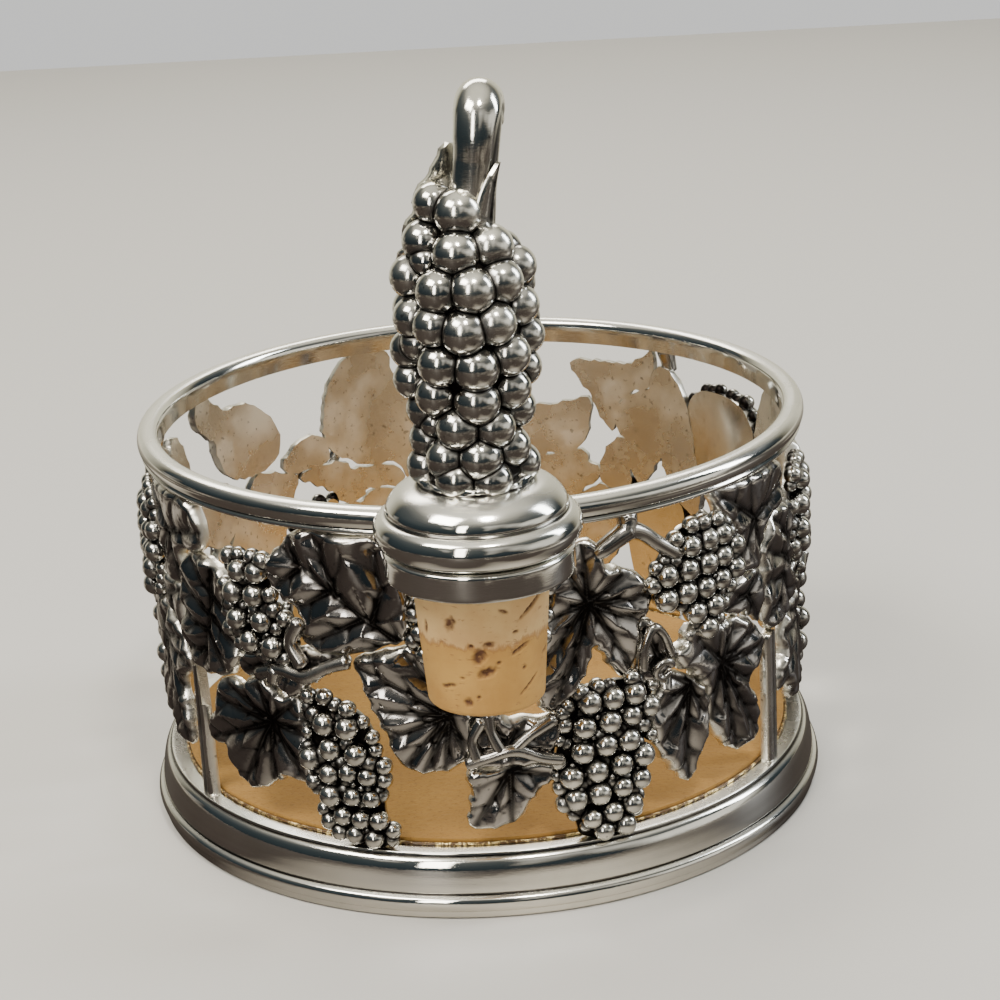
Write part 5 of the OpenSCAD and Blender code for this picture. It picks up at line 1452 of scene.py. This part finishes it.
# %% Bunch on the stopper
FRONT_BERRIES = [
    (-0.5, 131.4, 3.7), (-4.3, 132.7, 3.1), (-6.0, 126.7, 3.4), (-1.2, 125.6, 3.6), (4.2, 125.9, 3.6),
    (-8.3, 121.2, 3.4), (-4.2, 120.2, 3.5), (1.0, 120.3, 3.6), (5.6, 121.0, 3.4), (8.1, 122.0, 3.2),
    (-8.2, 115.2, 3.3), (-5.2, 114.8, 3.3), (-0.6, 114.0, 3.6), (4.2, 114.9, 3.4), (8.2, 116.2, 3.2),
    (-9.2, 109.4, 3.1), (-4.5, 108.5, 3.5), (1.0, 107.9, 3.6), (6.2, 109.2, 3.4), (9.0, 110.8, 3.1),
    (-9.0, 104.4, 3.1), (-5.3, 102.9, 3.4), (0.9, 102.0, 3.6), (6.1, 103.2, 3.4), (8.3, 105.6, 3.1),
    (-7.0, 99.4, 3.3), (-2.2, 97.7, 3.5), (3.3, 97.4, 3.4), (7.0, 98.9, 3.2),
    (-6.8, 94.4, 3.3), (-4.2, 92.4, 3.4), (0.9, 92.6, 3.5), (5.7, 93.2, 3.3),
    (-7.6, 89.9, 3.2), (-2.9, 88.9, 3.4), (2.4, 88.7, 3.4), (7.4, 89.6, 3.2)]
SIDE_BERRIES = [
    (106, 124.2, 3.2), (107, 118.8, 3.3), (105, 113.2, 3.3), (112, 107.4, 3.2), (156, 104.0, 2.7),
    (-108, 115.4, 3.4), (-128, 103.0, 3.3), (-124, 92.4, 3.0), (-73, 111.0, 2.6), (-72, 124.0, 2.4),
    (-71, 97.5, 2.3)]
RING_HEIGHTS = [88, 95.8, 100, 105, 110, 115, 121, 126, 132]
RING_SIZES = [6.3, 6.2, 6.3, 7.4, 8.3, 8.6, 7.8, 5.2, 2.2]
BERRY_SINK = 1.2
BERRY_SWELL = 1.05
BACK_SHARE = 0.78
BACK_SPREAD = 1.17
CORE = [(0, 88.4), (7.6, 88.4), (7.0, 92), (6.4, 96), (6.6, 100), (7.8, 106), (8.6, 112), (8.6, 117),
        (7.4, 122), (5.2, 126), (2.8, 130), (0, 131)]
spindle = smooth_profile(CORE, 3)


def ring_at(z):
    """The distance from the axis at which berries of this height sit."""
    return float(np.interp(z, RING_HEIGHTS, RING_SIZES))


def spindle_gap(verts):
    """How far a point stands clear of the dark core."""
    away = np.hypot(verts[:, 0], verts[:, 1] - RING_Y)
    return away - np.interp(verts[:, 2], spindle[:, 1], spindle[:, 0])


berries = []
for side in (1, -1):
    for dx, z, size in FRONT_BERRIES:
        ring = ring_at(z)
        if side < 0 and abs(dx) > BACK_SHARE * ring:
            continue
        if side < 0:
            dx = dx * BACK_SPREAD
        reach = math.sqrt(max(ring ** 2 - dx ** 2, 0))
        berries.append((side * dx, RING_Y - side * reach, z, size * BERRY_SWELL))
for degrees, z, size in SIDE_BERRIES:
    turn = math.radians(degrees)
    ring = ring_at(z)
    berries.append((ring * math.sin(turn), RING_Y - ring * math.cos(turn), z, size * BERRY_SWELL))
berries = np.array(berries)
balls = heap([(berries[:, :3], berries[:, 3], 4)], spindle_gap, gap=0.8, shine=0.85)
core_verts, core_faces = turned(spindle, RING_Y, sides=64)
core_marks = {"recess": np.full(len(core_verts), 1.0), "rubbed": np.zeros(len(core_verts))}
verts, faces, marks = joined([balls, (core_verts, core_faces, core_marks)])
verts[:, 2] = np.maximum(verts[:, 2], NECK_TOP_Z - BERRY_SINK)
add_piece("stopper_bunch", "stopper_grapes", (verts, faces, marks), GRAPES)
print("berries on the stopper:", len(berries))

# %% [markdown]
# A piece of vine ends the stopper: it rises between the top berries, bends back and is cut off square.
# A shallow furrow runs along its bark, and the cut end is a little hollow.

# %% Stem
STEM_POINTS = [(1.2, 0.6, 128.5), (1.9, 0.3, 134), (2.6, 0.2, 139), (3.1, 0.4, 143.0), (3.5, 1.4, 145.8),
               (3.8, 3.4, 147.2), (4.0, 5.8, 146.6), (4.0, 7.6, 144.8)]
STEM_RADII = [4.0, 3.7, 3.6, 3.75, 3.9, 3.9, 3.9, 4.0]
CUT_HOLLOW = 1.3


def bark_tube(points, radii, sides=64, steps=12):
    """A rod with a furrow along it and a cut end, and marks for the antique finish."""
    verts, faces, _ = tube(points, radii, sides, steps)
    body = verts[:-2].reshape(-1, sides, 3)
    middle = body.mean(1, keepdims=True)
    ring_no = np.arange(len(body))[:, None]
    a = (2 * math.pi * np.arange(sides) / sides)[None]
    furrow = np.maximum(0, np.cos(a + 2.6 + 0.3 * np.sin(ring_no * 0.07))) ** 30
    knots = 0.03 * np.sin(ring_no * 0.05 + 1.5 * np.sin(a + 0.8))
    body = body + (middle - body) * (0.09 * furrow + knots)[:, :, None]
    recess = np.clip(0.8 * furrow, 0, 1)
    rubbed = np.clip(0.9 - 0.7 * furrow, 0, 1)
    ends = [verts[-2], verts[-1] + (middle[-1, 0] - verts[-1]) * CUT_HOLLOW]
    verts = np.concatenate([body.reshape(-1, 3), ends])
    return verts, faces, {"recess": np.append(recess, [1, 1]), "rubbed": np.append(rubbed, [0, 0])}


stem = bark_tube([(x, RING_Y + y, z) for x, y, z in STEM_POINTS], STEM_RADII)
add_piece("stem_bark", "stopper_stem", stem, GRAPES)

# %% [markdown]
# A long leaf hugs the stem at the back, and a pointed sepal stands at its right. Both are thin cast
# plates, bent round the stem.

# %% Leaf and sepal
LEAF_SHAPE = [
    (-1.6, 0.3), (-4.2, 3.0), (-3.6, 6.2), (-5.8, 9.0), (-4.6, 12.2), (-5.4, 15.4), (-3.0, 18.0),
    (-2.4, 20.6), (0, 23.4), (2.2, 20.4), (3.2, 17.8), (5.2, 15.0), (4.4, 12.0), (5.6, 8.8), (3.6, 6.0),
    (4.0, 2.8), (1.6, 0.3)]
LEAF_VEINS = [[(0, 0.5), (0, 12), (0, 22.6)], [(0, 4), (-5, 9)], [(0, 4), (5, 8.6)], [(0, 10.5), (-4.6, 15)],
              [(0, 10.5), (4.4, 14.6)]]
SEPAL_SHAPE = [
    (-2.0, -3), (-3.0, 0), (-2.7, 3.4), (-1.6, 6.6), (0.1, 9.2), (1.5, 6.6), (2.6, 3.4), (2.9, 0), (2.0, -3)]
SEPAL_VEINS = [[(0, 0), (0, 8)]]


def hugging_leaf(outline, veins, frame_at, radius, middle_z, stand, puff, thick=1.1, teeth=0.35, curl=0):
    """A leaf bent like a piece of a ball's shell, curled round the stem and placed by a matrix."""
    rng = np.random.default_rng(len(outline))
    edge = toothed(rounded(np.array(outline, dtype=float)), rng, step=2.2, depth=teeth)
    flat, tris = filled(edge, 0.4)
    height, recess, rubbed = leaf_relief(flat, edge, [np.array(v, float) for v in veins], rng, puff, 0.06)
    x, z = flat.T
    shell = stand + radius - np.sqrt(radius ** 2 - (z - middle_z) ** 2 - x ** 2)
    if curl:
        shell = shell - curl + np.sqrt(curl ** 2 - x ** 2)
    verts = np.concatenate([np.stack([x, -(shell + thick + height), z], 1), np.stack([x, -shell, z], 1)])
    faces = tris + turned_over(tris, len(flat)) + band(0, len(flat), len(edge))
    marks = {"recess": np.append(recess, recess * 0.6), "rubbed": np.append(rubbed, rubbed)}
    return [tuple(frame_at @ Vector(v)) for v in verts], faces, marks


def turn_z(degrees):
    return Matrix.Rotation(math.radians(degrees), 4, "Z")


STEM_LEAN = Matrix.Translation((0, RING_Y, 130.98)) @ Matrix.Rotation(math.radians(8), 4, "Y")
at = STEM_LEAN @ turn_z(32) @ Matrix.Translation((0, 0, -13)) @ turn_z(180)
leaf = hugging_leaf(LEAF_SHAPE, LEAF_VEINS, at, 24.05, 18.72, 4.25, 0.45)
add_piece("stopper_leaf_cast", "stopper_leaf", leaf, GRAPES)
at = STEM_LEAN @ turn_z(-112) @ turn_z(180)
sepal = hugging_leaf(SEPAL_SHAPE, SEPAL_VEINS, at, 24, 2, 4.1, 0.2, thick=0.6, teeth=0.05, curl=4.6)
add_piece("stopper_sepal_cast", "stopper_sepal", sepal, GRAPES)
print("stem, leaf and sepal are in place")
